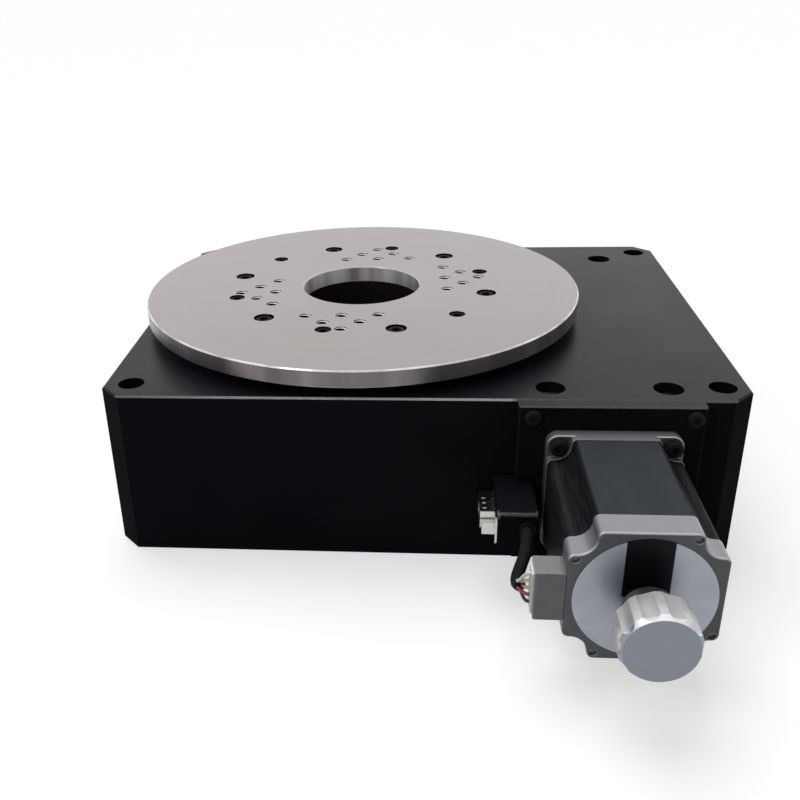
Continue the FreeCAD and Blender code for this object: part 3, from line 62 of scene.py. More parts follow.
class Value:
    """A socket of a recipe. Sums, products and the like of number sockets add Math nodes."""

    def __init__(self, recipe, socket):
        self.recipe = recipe
        self.socket = socket

    def maths(self, operation, first, second):
        """Adds a Math node."""
        return self.recipe.node("ShaderNodeMath", {"operation": operation}, {0: first, 1: second})

    def __add__(self, other):
        return self.maths("ADD", self, other)

    def __sub__(self, other):
        return self.maths("SUBTRACT", self, other)

    def __rsub__(self, other):
        return self.maths("SUBTRACT", other, self)

    def __mul__(self, other):
        return self.maths("MULTIPLY", self, other)

    def __truediv__(self, other):
        return self.maths("DIVIDE", self, other)

    def __pow__(self, other):
        return self.maths("POWER", self, other)

    def __abs__(self):
        return self.maths("ABSOLUTE", self, 0.0)

    __radd__ = __add__
    __rmul__ = __mul__


class Recipe:
    """The nodes of one material, or of the world."""

    def __init__(self, owner):
        owner.use_nodes = True
        self.owner = owner
        self.tree = owner.node_tree

    def node(self, kind, settings=None, sockets=None, output=0):
        """Adds a node, with its settings first and then its sockets: numbers, colours or other values."""
        made = self.tree.nodes.new(kind)
        for name, setting in (settings or {}).items():
            setattr(made, name, setting)
        self.fill(made, sockets or {})
        return Value(self, made.outputs[output])

    def fill(self, made, sockets):
        """Sets the sockets of a node, or links them to other values."""
        for name, content in sockets.items():
            if isinstance(content, Value):
                self.tree.links.new(content.socket, made.inputs[name])
            else:
                made.inputs[name].default_value = content

    def mix(self, share, first, second):
        """A colour between two colours."""
        return self.node("ShaderNodeMix", {"data_type": "RGBA"}, {0: share, 6: first, 7: second}, 2)


class Finish(Recipe):
    """A material with one main shader, patterned by the place on the object."""

    def __init__(self, name, sockets):
        super().__init__(bpy.data.materials.new(name))
        self.shader = self.tree.nodes["Principled BSDF"]
        self.spot = self.node("ShaderNodeTexCoord", output="Object")
        self.coat(sockets)

    def coat(self, sockets):
        """Sets or links sockets of the main shader."""
        self.fill(self.shader, sockets)

    def dress(self, *names):
        """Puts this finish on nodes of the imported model."""
        for name in names:
            frame["nodes"][name].material_slots[0].material = self.owner

    def noise(self, size, detail=2.0, stretch=(1, 1, 1)):
        """Cloudy values round 0.5, with lumps of about one size, drawn out along an axis by its stretch."""
        scale = tuple(1 / (size * s) for s in stretch)
        place = self.node("ShaderNodeMapping", None, {"Vector": self.spot, "Scale": scale})
        return self.node("ShaderNodeTexNoise", None, {"Vector": place, "Scale": 1.0, "Detail": detail})

    def spread(self, value, low, high, to_low=0.0, to_high=1.0):
        """A value stretched from one range to another, and held inside it."""
        return self.node("ShaderNodeMapRange", None, {"Value": value, "From Min": low, "From Max": high,
                                                      "To Min": to_low, "To Max": to_high})

    def fade(self, value, low, high, first, second):
        """A colour that goes from the first to the second as a value goes from low to high."""
        return self.mix(self.spread(value, low, high), first, second)

    def bump(self, height, depth, normal=None):
        """Normals of a relief whose height of 1 is that depth in metres."""
        sockets = {"Height": height, "Distance": depth}
        if normal is not None:
            sockets["Normal"] = normal
        return self.node("ShaderNodeBump", None, sockets)

    def parts(self, vector):
        """A vector's three parts, along X, Y and Z."""
        split = self.node("ShaderNodeSeparateXYZ", None, {0: vector}).socket.node
        return [Value(self, part) for part in split.outputs]

    def place(self):
        """How far a spot lies along X, Y and Z, in metres."""
        return self.parts(self.spot)

    def normal(self):
        """The way a face looks."""
        return self.node("ShaderNodeNewGeometry", output="Normal")

    def upward(self):
        """How far a face looks up, from -1 to 1."""
        return self.parts(self.normal())[2]

    def slanted(self):
        """A mask of faces that look half up, as bevels do."""
        return self.spread(abs(self.upward() - BEVEL_SLOPE), 0.3, 0.2)

    def rounding(self, radius):
        """Normals as if each edge were rounded."""
        return self.node("ShaderNodeBevel", {"samples": 4}, {"Radius": radius})

    def edges(self, rounded):
        """A mask of the edges: the spots where rounded normals and the faces' own point apart."""
        likeness = self.node("ShaderNodeVectorMath", {"operation": "DOT_PRODUCT"},
                             {0: rounded, 1: self.normal()}, "Value")
        return self.spread(1 - likeness, 0.02, 0.25)


def front_edge(finish, node, reach):
    """A mask of the edge between a node's top and its front: the spots within a reach of both."""
    _, along, height = finish.place()
    low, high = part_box(node)
    at_front = finish.spread(along, low[1] + reach, low[1] + 0.7 * reach)
    return at_front * finish.spread(height, high[2] - reach, high[2] - 0.7 * reach)


def anodise(name, edge_radius, edge_highlight_colour, highlight_mask):
    """Black anodised aluminium: faces that look up were ground and are glossier than the blasted sides. Its
    edges are painted lighter and more metallic, a painted highlight, by a mask that a function makes from the
    mask of the edges."""
    finish = Finish(name, {"Specular IOR Level": 0.0, "Coat IOR": 1.3, "Coat Roughness": 0.3})
    clouds = finish.noise(45 * MM, 4.0)
    grain = finish.noise(0.35 * MM, 3.0)
    rounded = finish.rounding(edge_radius)
    dyed = finish.fade(clouds, 0.3, 0.7, (0.0066, 0.0058, 0.0084, 1), (0.0096, 0.0086, 0.0118, 1))
    ground = finish.spread(finish.upward(), 0.3, 0.9, 0.04, 0.8)
    # The edges are painted lighter and more metallic, a painted highlight, patched by the grain.
    painted_highlight = highlight_mask(finish, finish.edges(rounded)) * finish.spread(grain, 0.3, 0.6, 0.4, 1.0)
    finish.coat({
        "Base Color": finish.mix(painted_highlight, dyed, edge_highlight_colour),
        "Metallic": 0.7 * painted_highlight,
        "Roughness": 0.36 + 0.1 * clouds + 0.08 * grain,
        "Coat Weight": ground * finish.spread(clouds, 0.2, 0.8, 0.9, 1.1),
        "Normal": finish.bump(grain, 0.012 * MM, rounded)})
    return finish


def base_edge_highlight(finish, edge):
    """A painted highlight on the bevel along the base's top front edge, brightest just left of the motor's
    plate, dimmer over the plate and fading towards the base's left end, and a weaker painted highlight on all
    other edges."""
    across, _, _ = finish.place()
    base_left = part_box("housing")[0][0]
    plate_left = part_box("motor_adapter_plate")[0][0]
    wear_and_highlight = finish.spread(across, base_left, base_left + HIGHLIGHT_FADE_LENGTH, 0.25, 1.0)
    beside_plate = finish.spread(across, plate_left, plate_left - PLATE_SIDE, 0.3, 1.0)
    bevel = finish.slanted() * front_edge(finish, "housing", BASE_BEVEL_REACH)
    return 0.2 * edge + bevel * wear_and_highlight * beside_plate


# The base's edges carry a painted highlight in pale grey.
black_anodised = anodise("black_anodised", 0.5 * MM, (0.33, 0.322, 0.326, 1), base_edge_highlight)
black_anodised.dress("housing", "bottom_cover")

black_oxide = Finish("black_oxide", {"Metallic": 0.2, "Specular IOR Level": 0.04})
oil = black_oxide.noise(3 * MM, 3.0)
pores = black_oxide.noise(0.12 * MM, 2.0)
black_oxide.coat({
    "Base Color": black_oxide.mix(oil, (0.009, 0.009, 0.0098, 1), (0.016, 0.0155, 0.0155, 1)),
    "Roughness": 0.4 + 0.25 * oil,
    "Normal": black_oxide.bump(pores, 0.006 * MM)})
black_oxide.dress("bottom_cover_screws")

# The table runs on a crossed roller bearing: split outer ring, inner ring and rollers of ground steel, a
# bronze cage, and an aluminium ring that clamps it into the base with eight cap screws.
ground_steel = Finish("ground_steel", {"Metallic": 1.0})
scratches = ground_steel.noise(0.25 * MM, 2.0, (1, 1, 0.25))
smear = ground_steel.noise(9 * MM, 3.0)
ground_steel.coat({
    "Base Color": ground_steel.mix(smear, (0.46, 0.455, 0.45, 1), (0.58, 0.575, 0.57, 1)),
    "Roughness": 0.2 + 0.12 * scratches + 0.1 * smear,
    "Normal": ground_steel.bump(scratches, 0.003 * MM)})
ground_steel.dress("main_bearing_outer_ring", "main_bearing_inner_ring", "main_bearing_rollers")

bronze = Finish("machined_bronze", {"Metallic": 1.0})
tool_lines = bronze.noise(0.3 * MM, 2.0, (4, 4, 0.5))
tarnish = bronze.noise(6 * MM, 4.0)
bronze.coat({
    "Base Color": bronze.mix(tarnish, (0.46, 0.27, 0.11, 1), (0.64, 0.42, 0.19, 1)),
    "Roughness": 0.24 + 0.14 * tool_lines + 0.12 * tarnish,
    "Normal": bronze.bump(tool_lines, 0.008 * MM)})
bronze.dress("main_bearing_cage")

machined_alloy = Finish("machined_alloy", {"Metallic": 1.0})
feed_marks = machined_alloy.noise(0.4 * MM, 2.0, (5, 0.6, 1))
dull = machined_alloy.noise(12 * MM, 3.0)
machined_alloy.coat({
    "Base Color": machined_alloy.mix(dull, (0.56, 0.565, 0.57, 1), (0.7, 0.705, 0.71, 1)),
    "Roughness": 0.27 + 0.12 * feed_marks + 0.08 * dull,
    "Normal": machined_alloy.bump(feed_marks, 0.008 * MM)})
machined_alloy.dress("bearing_clamp_ring")
black_oxide.dress("clamp_ring_screws")

# The worm wheel is a bronze rim with ninety hobbed teeth, screwed to an aluminium carrier, which is screwed
# to the spindle from below.
bronze.dress("worm_wheel")
machined_alloy.dress("wheel_carrier")
black_oxide.dress("wheel_carrier_screws", "worm_wheel_screws")

# The worm is ground in one with its shaft and runs in an aluminium block: two ball bearings at the front
# under a retainer and a slotted nut, one at the rear behind a plug. A jaw coupling joins it to the motor.
ground_steel.dress("worm_shaft", "worm_bearing_outer_rings", "worm_bearing_inner_rings", "worm_lock_nut")
machined_alloy.dress("worm_block", "worm_bearing_retainer", "worm_rear_plug", "coupling_hub_motor",
                     "coupling_hub_worm")
black_oxide.dress("coupling_set_screws")

rubber = Finish("black_rubber", {"Specular IOR Level": 0.1})
bloom = rubber.noise(2 * MM, 4.0)
rubber.coat({
    "Base Color": rubber.mix(bloom, (0.006, 0.006, 0.0065, 1), (0.012, 0.012, 0.0125, 1)),
    "Roughness": 0.5 + 0.25 * bloom,
    "Normal": rubber.bump(bloom, 0.02 * MM)})
rubber.dress("coupling_spider")

# Four cap screws of blackened steel come down through counterbores in the base into the worm block. Such a
# screw has a rolled thread, a knurled head and a hexagon socket.
SCREW_SPOTS = 96
SCREW_TURN = np.linspace(0, 2 * np.pi, SCREW_SPOTS, endpoint=False)
ROWS_PER_TURN = 4
THREAD_DEPTH = 0.54
KNURLS = 32
KNURL_DEPTH = 0.024
HEAD_BEVEL = 0.06
SOCKET_MOUTH = 0.56
SOCKET_BEVEL = 0.06
SOCKET_END = 0.3
SOCKET_DROP = 0.1
SHARP_ANGLE = math.radians(35)
BLOCK_SCREW = {"thread": 6.0, "pitch": 1.0, "length": 20.5}
BLOCK_SCREW_HEAD = {"head": 10.0, "height": 6.0, "key": 5.0}
BLOCK_SCREW_SEAT = 70.0
BLOCK_SCREW_SIDE = 25.0
BLOCK_SCREW_ALONG = (-99.0, 85.0)


def skin(name, rings, material):
    """A closed skin over rings of points, an array of copies by rings by spots by three. Each ring is joined
    to the next by quads, and the first and last ring are closed by a fan of triangles round their middle."""
    copies, count, spots, _ = rings.shape
    middles = rings[:, [0, -1]].mean(axis=2)
    points = np.concatenate([rings.reshape(copies, -1, 3), middles], axis=1)
    spot = np.arange(spots)
    after = (spot + 1) % spots
    row = np.arange(count - 1)[:, None] * spots
    quads = np.stack([row + spot, row + after, row + spots + after, row + spots + spot], -1).reshape(-1, 4)
    last = (count - 1) * spots
    fans = np.concatenate([np.stack([np.full(spots, count * spots), after, spot], -1),
                           np.stack([np.full(spots, count * spots + 1), last + spot, last + after], -1)])
    shift = np.arange(copies)[:, None, None] * points.shape[1]
    corners = np.concatenate([(quads + shift).ravel(), (fans + shift).ravel()])
    sizes = np.concatenate([np.full(copies * len(quads), 4), np.full(copies * len(fans), 3)])
    mesh = bpy.data.meshes.new(name)
    mesh.vertices.add(copies * points.shape[1])
    mesh.vertices.foreach_set("co", points.astype(np.float32).ravel())
    mesh.loops.add(len(corners))
    mesh.loops.foreach_set("vertex_index", corners.astype(np.int32))
    mesh.polygons.add(len(sizes))
    mesh.polygons.foreach_set("loop_start", (np.cumsum(sizes) - sizes).astype(np.int32))
    mesh.polygons.foreach_set("use_smooth", np.ones(len(sizes), dtype=bool))
    mesh.update(calc_edges=True)
    mesh.validate()
    mesh.set_sharp_from_angle(angle=SHARP_ANGLE)
    mesh.materials.append(material)
    piece = bpy.data.objects.new(name, mesh)
    bpy.context.scene.collection.objects.link(piece)
    return piece


def shank_rows(thread, pitch, length):
    """The rows of a screw's shank, from its tip to the underside of its head at zero height. The radius
    swings from crest to root, a share of the pitch, with height less turn, which is a right-hand helix, and
    the tip is bevelled."""
    height = np.linspace(-length, 0, int(ROWS_PER_TURN * length / pitch))[:, None]
    phase = (height / pitch - SCREW_TURN / (2 * np.pi)) % 1
    depth = THREAD_DEPTH * pitch
    radius = thread / 2 - depth * np.abs(2 * phase - 1)
    return list(zip(np.minimum(radius, thread / 2 - depth + height + length), height))


def socket_rows(top, key):
    """The rows of a hexagon socket, from its bevelled mouth to the cone at its end, half the head deep. A
    hexagon's radius is half its key over the cosine of the turn from a flat's middle, and the other sizes are
    shares of the key."""
    flats = key / 2 / np.cos(SCREW_TURN % (np.pi / 3) - np.pi / 6)
    return [(np.maximum(flats, SOCKET_MOUTH * key), top), (flats, top - SOCKET_BEVEL * key),
            (flats, top / 2), (SOCKET_END * key, top / 2 - SOCKET_DROP * key)]


def cap_rows(head, height, key):
    """The rows of a cap screw's head, from its underside over the top into its socket. The side is scalloped
    by a rectified sine of the turn, and its bevels and scallops are shares of the head's diameter."""
    rim = head / 2
    bevel = HEAD_BEVEL * head
    knurl = rim - KNURL_DEPTH * head * (1 - np.abs(np.sin(KNURLS * SCREW_TURN / 2)))
    return [(rim - bevel / 2, 0.0), (knurl, bevel / 2), (knurl, height - bevel),
            (rim - 0.6 * bevel, height - bevel / 4), (rim - bevel, height), *socket_rows(height, key)]


def put_screws(name, node, body, direction, places, rows):
    """Copies of one screw in place of a node: its rows of radius and height turned round its axis, then stood
    at each place in millimetres with its head up, or with its head to the front."""
    radius, height = (np.stack([part + 0 * SCREW_TURN for part in column]) for column in zip(*rows))
    screw = np.stack([radius * np.cos(SCREW_TURN), radius * np.sin(SCREW_TURN), height], -1)
    if direction == "front":
        screw = np.stack([screw[..., 0], -screw[..., 2], screw[..., 1]], -1)
    rings = MM * (screw[None] + np.array(places, float)[:, None, None])
    screws = skin(name, rings, black_oxide.owner)
    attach(screws, body)
    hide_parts(node)


worm_x, _, worm_z = (part / MM for part in frame["joints"][1]["pos_m"])
block_places = [(worm_x + side * BLOCK_SCREW_SIDE, y, BLOCK_SCREW_SEAT)
                for side in (-1, 1) for y in BLOCK_SCREW_ALONG]
put_screws("worm_block_cap_screws", "worm_block_screws", "base", "up", block_places,
           shank_rows(**BLOCK_SCREW) + cap_rows(**BLOCK_SCREW_HEAD))

# The home switch is a black moulded fork, screwed to the cover. A thin steel flag on the wheel carrier
# passes through it once a turn.
moulded_black = Finish("moulded_black", {"Specular IOR Level": 0.4})
spark = moulded_black.noise(0.15 * MM, 2.0)
flow = moulded_black.noise(4 * MM, 3.0)
moulded_black.coat({
    "Base Color": moulded_black.mix(flow, (0.011, 0.011, 0.012, 1), (0.02, 0.02, 0.021, 1)),
    "Roughness": 0.4 + 0.18 * spark,
    "Normal": moulded_black.bump(spark, 0.012 * MM)})
moulded_black.dress("home_sensor")
ground_steel.dress("home_flag")
black_oxide.dress("home_sensor_screws", "home_flag_screw")

# The table is a turned plate of pale satin metal, faced on a lathe so that fine rings show, with a blackened
# steel spindle under it. Six cap screws hold it, six set screws level it, and 24 holes are tapped for work.
TABLE_RADIUS = 112.5
BORE_RADIUS = 30.5
WALL_REACH = 2.0
WALL_BLUR = 0.5
RING_PITCH = 0.22
RING_GROUPS = 0.03
turned_plate = Finish("turned_plate", {"Metallic": 1.0, "Anisotropic": 0.55, "Anisotropic Rotation": 0.25})
across, along, height = turned_plate.place()
from_axis = (across ** 2.0 + along ** 2.0) ** 0.5
along_cut = (from_axis + height) / (RING_PITCH * MM)
rings_fine = turned_plate.node("ShaderNodeTexNoise", {"noise_dimensions": "1D"},
                               {"W": along_cut, "Scale": 1.0, "Detail": 2.0})
rings_wide = turned_plate.node("ShaderNodeTexNoise", {"noise_dimensions": "1D"},
                               {"W": along_cut * RING_GROUPS, "Scale": 1.0, "Detail": 3.0})
wear_and_highlight = turned_plate.noise(30 * MM, 5.0)
# Upright bands of painted reflection, used on the rim, the bore and the rim's bevel.
reflection_bands = turned_plate.spread(turned_plate.noise(13 * MM, 2.0, (1, 1, 60)), 0.35, 0.65)
rounded = turned_plate.rounding(0.4 * MM)
wall = turned_plate.spread(1 - turned_plate.upward() ** 2.0, 0.5, 0.9)
near_rim = turned_plate.spread(from_axis, (TABLE_RADIUS - WALL_REACH) * MM,
                               (TABLE_RADIUS - WALL_REACH + WALL_BLUR) * MM)
near_bore = turned_plate.spread(from_axis, (BORE_RADIUS + WALL_REACH) * MM,
                                (BORE_RADIUS + WALL_REACH - WALL_BLUR) * MM)
on_rim = wall * near_rim
in_bore = wall * near_bore
in_hole = wall - on_rim - in_bore
# The bevels at the rim and the bore carry a painted highlight, banded at the rim.
bevel = turned_plate.slanted() * (near_rim * (0.1 + 0.65 * reflection_bands) + 0.18 * near_bore)
satin = turned_plate.fade(rings_wide, 0.25, 0.75, (0.378, 0.348, 0.34, 1), (0.391, 0.36, 0.352, 1))
worn = turned_plate.fade(wear_and_highlight, 0.35, 0.8, satin, (0.4, 0.375, 0.37, 1))
# The walls of the tapped holes are painted dark, a painted shade.
hole_painted_shade = turned_plate.mix(in_hole, worn, (0.07, 0.066, 0.065, 1))
# The bore wall is painted in light and dark bands, a painted reflection.
bore_painted_reflection = turned_plate.mix(reflection_bands, (0.24, 0.231, 0.226, 1), (0.7, 0.68, 0.67, 1))
# The rim is painted darker than the top, a painted shade, in bands of painted reflection.
rim_painted_shade = turned_plate.mix(reflection_bands, (0.115, 0.105, 0.104, 1), (0.19, 0.177, 0.174, 1))
sides = turned_plate.mix(on_rim, turned_plate.mix(in_bore, hole_painted_shade, bore_painted_reflection), rim_painted_shade)
# Edges outside the holes and the bevels are painted near white, a painted highlight.
painted_highlight = turned_plate.edges(rounded) * (1 - in_hole) + bevel
turned_plate.coat({
    "Base Color": turned_plate.mix(painted_highlight, sides, (0.95, 0.93, 0.92, 1)),
    "Roughness": 0.17 + 0.05 * rings_fine + 0.05 * wear_and_highlight + 0.12 * on_rim + 0.33 * in_bore,
    "Normal": turned_plate.bump(rings_fine, 0.0014 * MM, rounded)})
turned_plate.dress("table_top")
black_oxide.dress("spindle", "table_set_screws")

INDEX_ANGLE = math.radians(48.0)
TABLE_SCREW = {"thread": 5.0, "pitch": 0.8, "length": 9.9}
TABLE_SCREW_HEAD = {"head": 8.5, "height": 5.0, "key": 4.0}
TABLE_SCREW_COUNT = 6
TABLE_SCREW_CIRCLE = 133.0
TABLE_SCREW_SINK = 5.6
table_bottom, table_top = (corner[2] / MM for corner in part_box("table_top"))
around = INDEX_ANGLE + np.arange(TABLE_SCREW_COUNT) * 2 * math.pi / TABLE_SCREW_COUNT
screw_heights = np.full(TABLE_SCREW_COUNT, table_top - TABLE_SCREW_SINK)
screw_circle = TABLE_SCREW_CIRCLE / 2 * np.stack([np.cos(around), np.sin(around)], -1)
put_screws("table_cap_screws", "table_screws", "table", "up", np.column_stack([screw_circle, screw_heights]),
           shank_rows(**TABLE_SCREW) + cap_rows(**TABLE_SCREW_HEAD))

GRID_PITCH = 12.7
GRID_STEPS = ((4, 1), (4, 2), (4, 3), (3, 2), (3, 3), (2, 3))
GRID_HOLE_RADIUS = 3.0
GRID_HOLE_BEVEL = 0.5
TAP_PITCH = 1.0
TAP_DEPTH = 0.5
TAP_CREST = 0.1
TAP_ROOT = 0.44
TAP_SINK = 0.03
TAP_RUNOUT = 1 / 3
TAP_LEAST = 0.02
FIRST_TURN = 1.7
FIRST_TURN_BLUR = 0.5
STEPS_PER_TURN = 24


def tapped_threads(places):
    """The ridges of tapped holes: a trapezium, wide at the wall and narrow at the crest, carried along a
    helix that climbs one pitch a turn, and shrunk to nothing over part of a turn at both ends. Its depth, and
    half its widths at crest and root, are shares of the pitch."""
    turns = (table_top - table_bottom - 2 * GRID_HOLE_BEVEL) / TAP_PITCH - 1
    share = np.linspace(0, 1, int(turns * STEPS_PER_TURN))[:, None]
    angle = 2 * np.pi * turns * share
    climb = table_bottom + GRID_HOLE_BEVEL + TAP_PITCH * (0.5 + turns * share)
    fade = TAP_PITCH * np.clip(np.minimum(share, 1 - share) * turns / TAP_RUNOUT, TAP_LEAST, 1)
    radius = GRID_HOLE_RADIUS + TAP_SINK - TAP_DEPTH * fade * np.array([1, 1, 0, 0])
    half_width = fade * np.array([-TAP_CREST, TAP_CREST, TAP_ROOT, -TAP_ROOT])
    ridge = np.stack([radius * np.cos(angle), radius * np.sin(angle), climb + half_width], -1)
    return MM * (ridge[None] + np.array(places)[:, None, None])


quarters = np.array([(i * a, j * b) for a, b in GRID_STEPS for i in (-1, 1) for j in (-1, 1)]) * GRID_PITCH
index_cos, index_sin = math.cos(INDEX_ANGLE), math.sin(INDEX_ANGLE)
turned_in = quarters @ np.array([[index_cos, index_sin], [-index_sin, index_cos]])
grid_places = np.column_stack([turned_in, np.zeros(len(quarters))])
cut_thread = Finish("cut_thread", {"Metallic": 1.0})
chips = cut_thread.noise(0.5 * MM, 3.0)
_, _, height = cut_thread.place()
bare_thread_metal = cut_thread.mix(chips, (0.66, 0.65, 0.64, 1), (0.95, 0.94, 0.93, 1))
# Below the first turn the thread is painted near black, a painted shade deep in the hole; the top turn keeps
# its bare metal colour.
cut_thread.coat({
    "Base Color": cut_thread.fade(height, (table_top - FIRST_TURN) * MM,
                                  (table_top - FIRST_TURN + FIRST_TURN_BLUR) * MM,
                                  (0.04, 0.039, 0.038, 1), bare_thread_metal),
    "Roughness": 0.14 + 0.1 * chips,
    "Normal": cut_thread.bump(chips, 0.006 * MM)})
table_threads = skin("table_hole_threads", tapped_threads(grid_places), cut_thread.owner)
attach(table_threads, "table")

# An aluminium plate, anodised black like the base and notched for the connector box, stands between base
# and motor. Four button head screws of blackened steel hold it to the base.
black_anodised.dress("motor_adapter_plate")
PLATE_SCREW = {"thread": 4.0, "pitch": 0.7, "length": 14.0}
PLATE_SCREW_HEAD = {"head": 7.0, "key": 2.4}
PLATE_SCREW_ACROSS = (79.6, 145.9)
PLATE_SCREW_HEIGHTS = (9.0, 74.6)
DOME_FOOT = 0.08
DOME_CROWN = 0.32
DOME_SWEEP = 0.82
DOME_POWER = 0.9
DOME_ROWS = 7


def button_rows(head, key):
    """The rows of a button head, from its underside over a dome into its socket. The dome's radius falls by a
    power of a cosine while its height rises by a sine."""
    share = np.linspace(0, 1, DOME_ROWS)
    radius = head / 2 * np.cos(DOME_SWEEP * share) ** DOME_POWER
    height = head * (DOME_FOOT + (DOME_CROWN - DOME_FOOT) * np.sin(share * np.pi / 2))
    return [(head / 2, 0.0), *zip(radius, height), *socket_rows(DOME_CROWN * head, key)]


plate_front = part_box("motor_adapter_plate")[0][1] / MM
put_screws("adapter_plate_button_screws", "adapter_plate_screws", "base", "front",
           [(x, plate_front, z) for x in PLATE_SCREW_ACROSS for z in PLATE_SCREW_HEIGHTS],
           shank_rows(**PLATE_SCREW) + button_rows(**PLATE_SCREW_HEAD))

# The stepper motor: two die-cast bells, left in grey cast skin and clear coated, with a stack of steel
# laminations, painted slate grey, between them. Four cap screws through the front bell's ears hold it.
FLAT_HALF = 18.4
FLAT_BLUR = 1.0
MOTOR_SCREW = {"thread": 4.0, "pitch": 0.7, "length": 10.0}
MOTOR_SCREW_HEAD = {"head": 7.0, "height": 4.0, "key": 3.0}
MOTOR_SCREW_SEAT = -121.8
MOTOR_SCREW_REACH = 23.57


def cast(name, gloss, shaded_colour, lit_colour):
    """Die-cast aluminium with its rough skin, glossier on top. Faces that look up are painted lighter,
    painted light, and its edges and the rounds that look up and outwards from the motor's end carry a painted
    highlight, lighter and more metallic."""
    finish = Finish(name, {"Specular IOR Level": 0.5})
    cast_skin = finish.noise(0.5 * MM, 4.0)
    patches = finish.noise(7 * MM, 3.0)
    rounded = finish.rounding(0.5 * MM)
    _, inward, upward = finish.parts(finish.normal())
    # Edges and rounds that look up and outwards are painted lighter and more metallic, a painted highlight;
    # faces that look up are painted lighter, painted light.
    painted_highlight = finish.spread(finish.edges(rounded) - 2 * inward * upward, 0.0, 1.0)
    cast_top_lit = finish.fade(0.3 * patches + 0.7 * upward, 0.12, 0.85, shaded_colour, lit_colour)
    finish.coat({
        "Base Color": finish.mix(painted_highlight, cast_top_lit, (0.5, 0.5, 0.5, 1)),
        "Metallic": 0.05 + 0.45 * painted_highlight,
        "Roughness": 0.34 + 0.14 * cast_skin,
        "Coat Weight": finish.spread(upward, 0.3, 0.9, 0.0, gloss),
        "Normal": finish.bump(cast_skin, 0.02 * MM, rounded)})
    return finish


# The front bell is a darker copy of the same casting, painted shade, and the rear bell the lighter copy,
# painted light.
cast("cast_dark", 0.2, (0.05, 0.05, 0.054, 1), (0.16, 0.162, 0.168, 1)).dress("motor_front_bell")
cast("cast_grey", 0.75, (0.066, 0.068, 0.077, 1), (0.2, 0.206, 0.228, 1)).dress("motor_rear_bell")

slate_paint = Finish("slate_paint", {"Specular IOR Level": 0.03})
sheets = slate_paint.noise(0.5 * MM, 1.0, (400, 1, 400))
peel = slate_paint.noise(1.2 * MM, 3.0)
worn = slate_paint.noise(8 * MM, 4.0, (1, 3, 1))
drawn = slate_paint.noise(0.4 * MM, 4.0, (1, 40, 1))
across, _, height = slate_paint.place()
nearer = across.maths("MINIMUM", abs(across - worm_x * MM), abs(height - worm_z * MM))
on_flat = slate_paint.spread(nearer, FLAT_HALF * MM, (FLAT_HALF - FLAT_BLUR) * MM)
# The stack's top flat is slate grey, painted light, and its sides and corner coves are painted near black, a
# painted shade, with streaks along the stack.
lit_top = slate_paint.spread(slate_paint.upward(), 0.9, 0.98) * on_flat
lit_slate = slate_paint.fade(worn, 0.3, 0.75, (0.031, 0.036, 0.039, 1), (0.039, 0.044, 0.047, 1))
shaded_streaks = slate_paint.fade(drawn, 0.45, 0.75, (0.006, 0.006, 0.0075, 1), (0.022, 0.0225, 0.025, 1))
slate_paint.coat({
    "Base Color": slate_paint.mix(lit_top, shaded_streaks, lit_slate),
    "Roughness": 0.36 + 0.12 * peel + 0.06 * sheets,
    "Normal": slate_paint.bump(sheets * 0.7 + peel * 0.3, 0.012 * MM)})
slate_paint.dress("motor_stator")

motor_places = [(worm_x + i * MOTOR_SCREW_REACH, MOTOR_SCREW_SEAT, worm_z + j * MOTOR_SCREW_REACH)
                for i in (-1, 1) for j in (-1, 1)]
put_screws("motor_cap_screws", "motor_mounting_screws", "base", "front", motor_places,
           shank_rows(**MOTOR_SCREW) + cap_rows(**MOTOR_SCREW_HEAD))

dull_steel = Finish("dull_steel", {"Metallic": 0.8})
scale = dull_steel.noise(1.0 * MM, 3.0)
dull_steel.coat({
    "Base Color": dull_steel.mix(scale, (0.06, 0.061, 0.064, 1), (0.11, 0.111, 0.114, 1)),
    "Roughness": 0.26 + 0.15 * scale,
    "Normal": dull_steel.bump(scale, 0.01 * MM)})
dull_steel.dress("motor_tie_screws")

# Inside the motor a laminated rotor turns on its steel shaft in two ball bearings, between windings of
# lacquered copper wire.
lamination = Finish("laminated_steel", {"Metallic": 1.0})
stack = lamination.noise(0.5 * MM, 1.0, (400, 1, 400))
lamination.coat({
    "Base Color": lamination.mix(stack, (0.34, 0.34, 0.345, 1), (0.5, 0.5, 0.505, 1)),
    "Roughness": 0.3 + 0.2 * stack,
    "Normal": lamination.bump(stack, 0.02 * MM)})
lamination.dress("motor_rotor")

copper_wire = Finish("lacquered_copper", {"Metallic": 1.0})
strands = copper_wire.noise(0.5 * MM, 1.0, (6, 1, 6))
copper_wire.coat({
    "Base Color": copper_wire.mix(strands, (0.42, 0.17, 0.07, 1), (0.68, 0.33, 0.16, 1)),
    "Roughness": 0.25 + 0.2 * strands,
    "Normal": copper_wire.bump(strands, 0.15 * MM)})
copper_wire.dress("motor_windings")
ground_steel.dress("motor_shaft", "motor_bearing_outer_rings", "motor_bearing_inner_rings")

# A thin disc of rolled, silvered foil is stuck on the rear bell. A plain band of gloss black is printed over
# its upper half.
silver_foil = Finish("silver_foil", {"Metallic": 1.0})
rolled = silver_foil.noise(0.3 * MM, 2.0, (0.5, 1, 12))
foil_clouds = silver_foil.noise(9 * MM, 3.0)
silver_foil.coat({
    "Base Color": silver_foil.fade(foil_clouds, 0.3, 0.7, (0.29, 0.315, 0.355, 1), (0.335, 0.352, 0.39, 1)),
    "Roughness": 0.4 + 0.1 * rolled,
    "Normal": silver_foil.bump(rolled, 0.002 * MM)})
silver_foil.dress("motor_rear_disc")

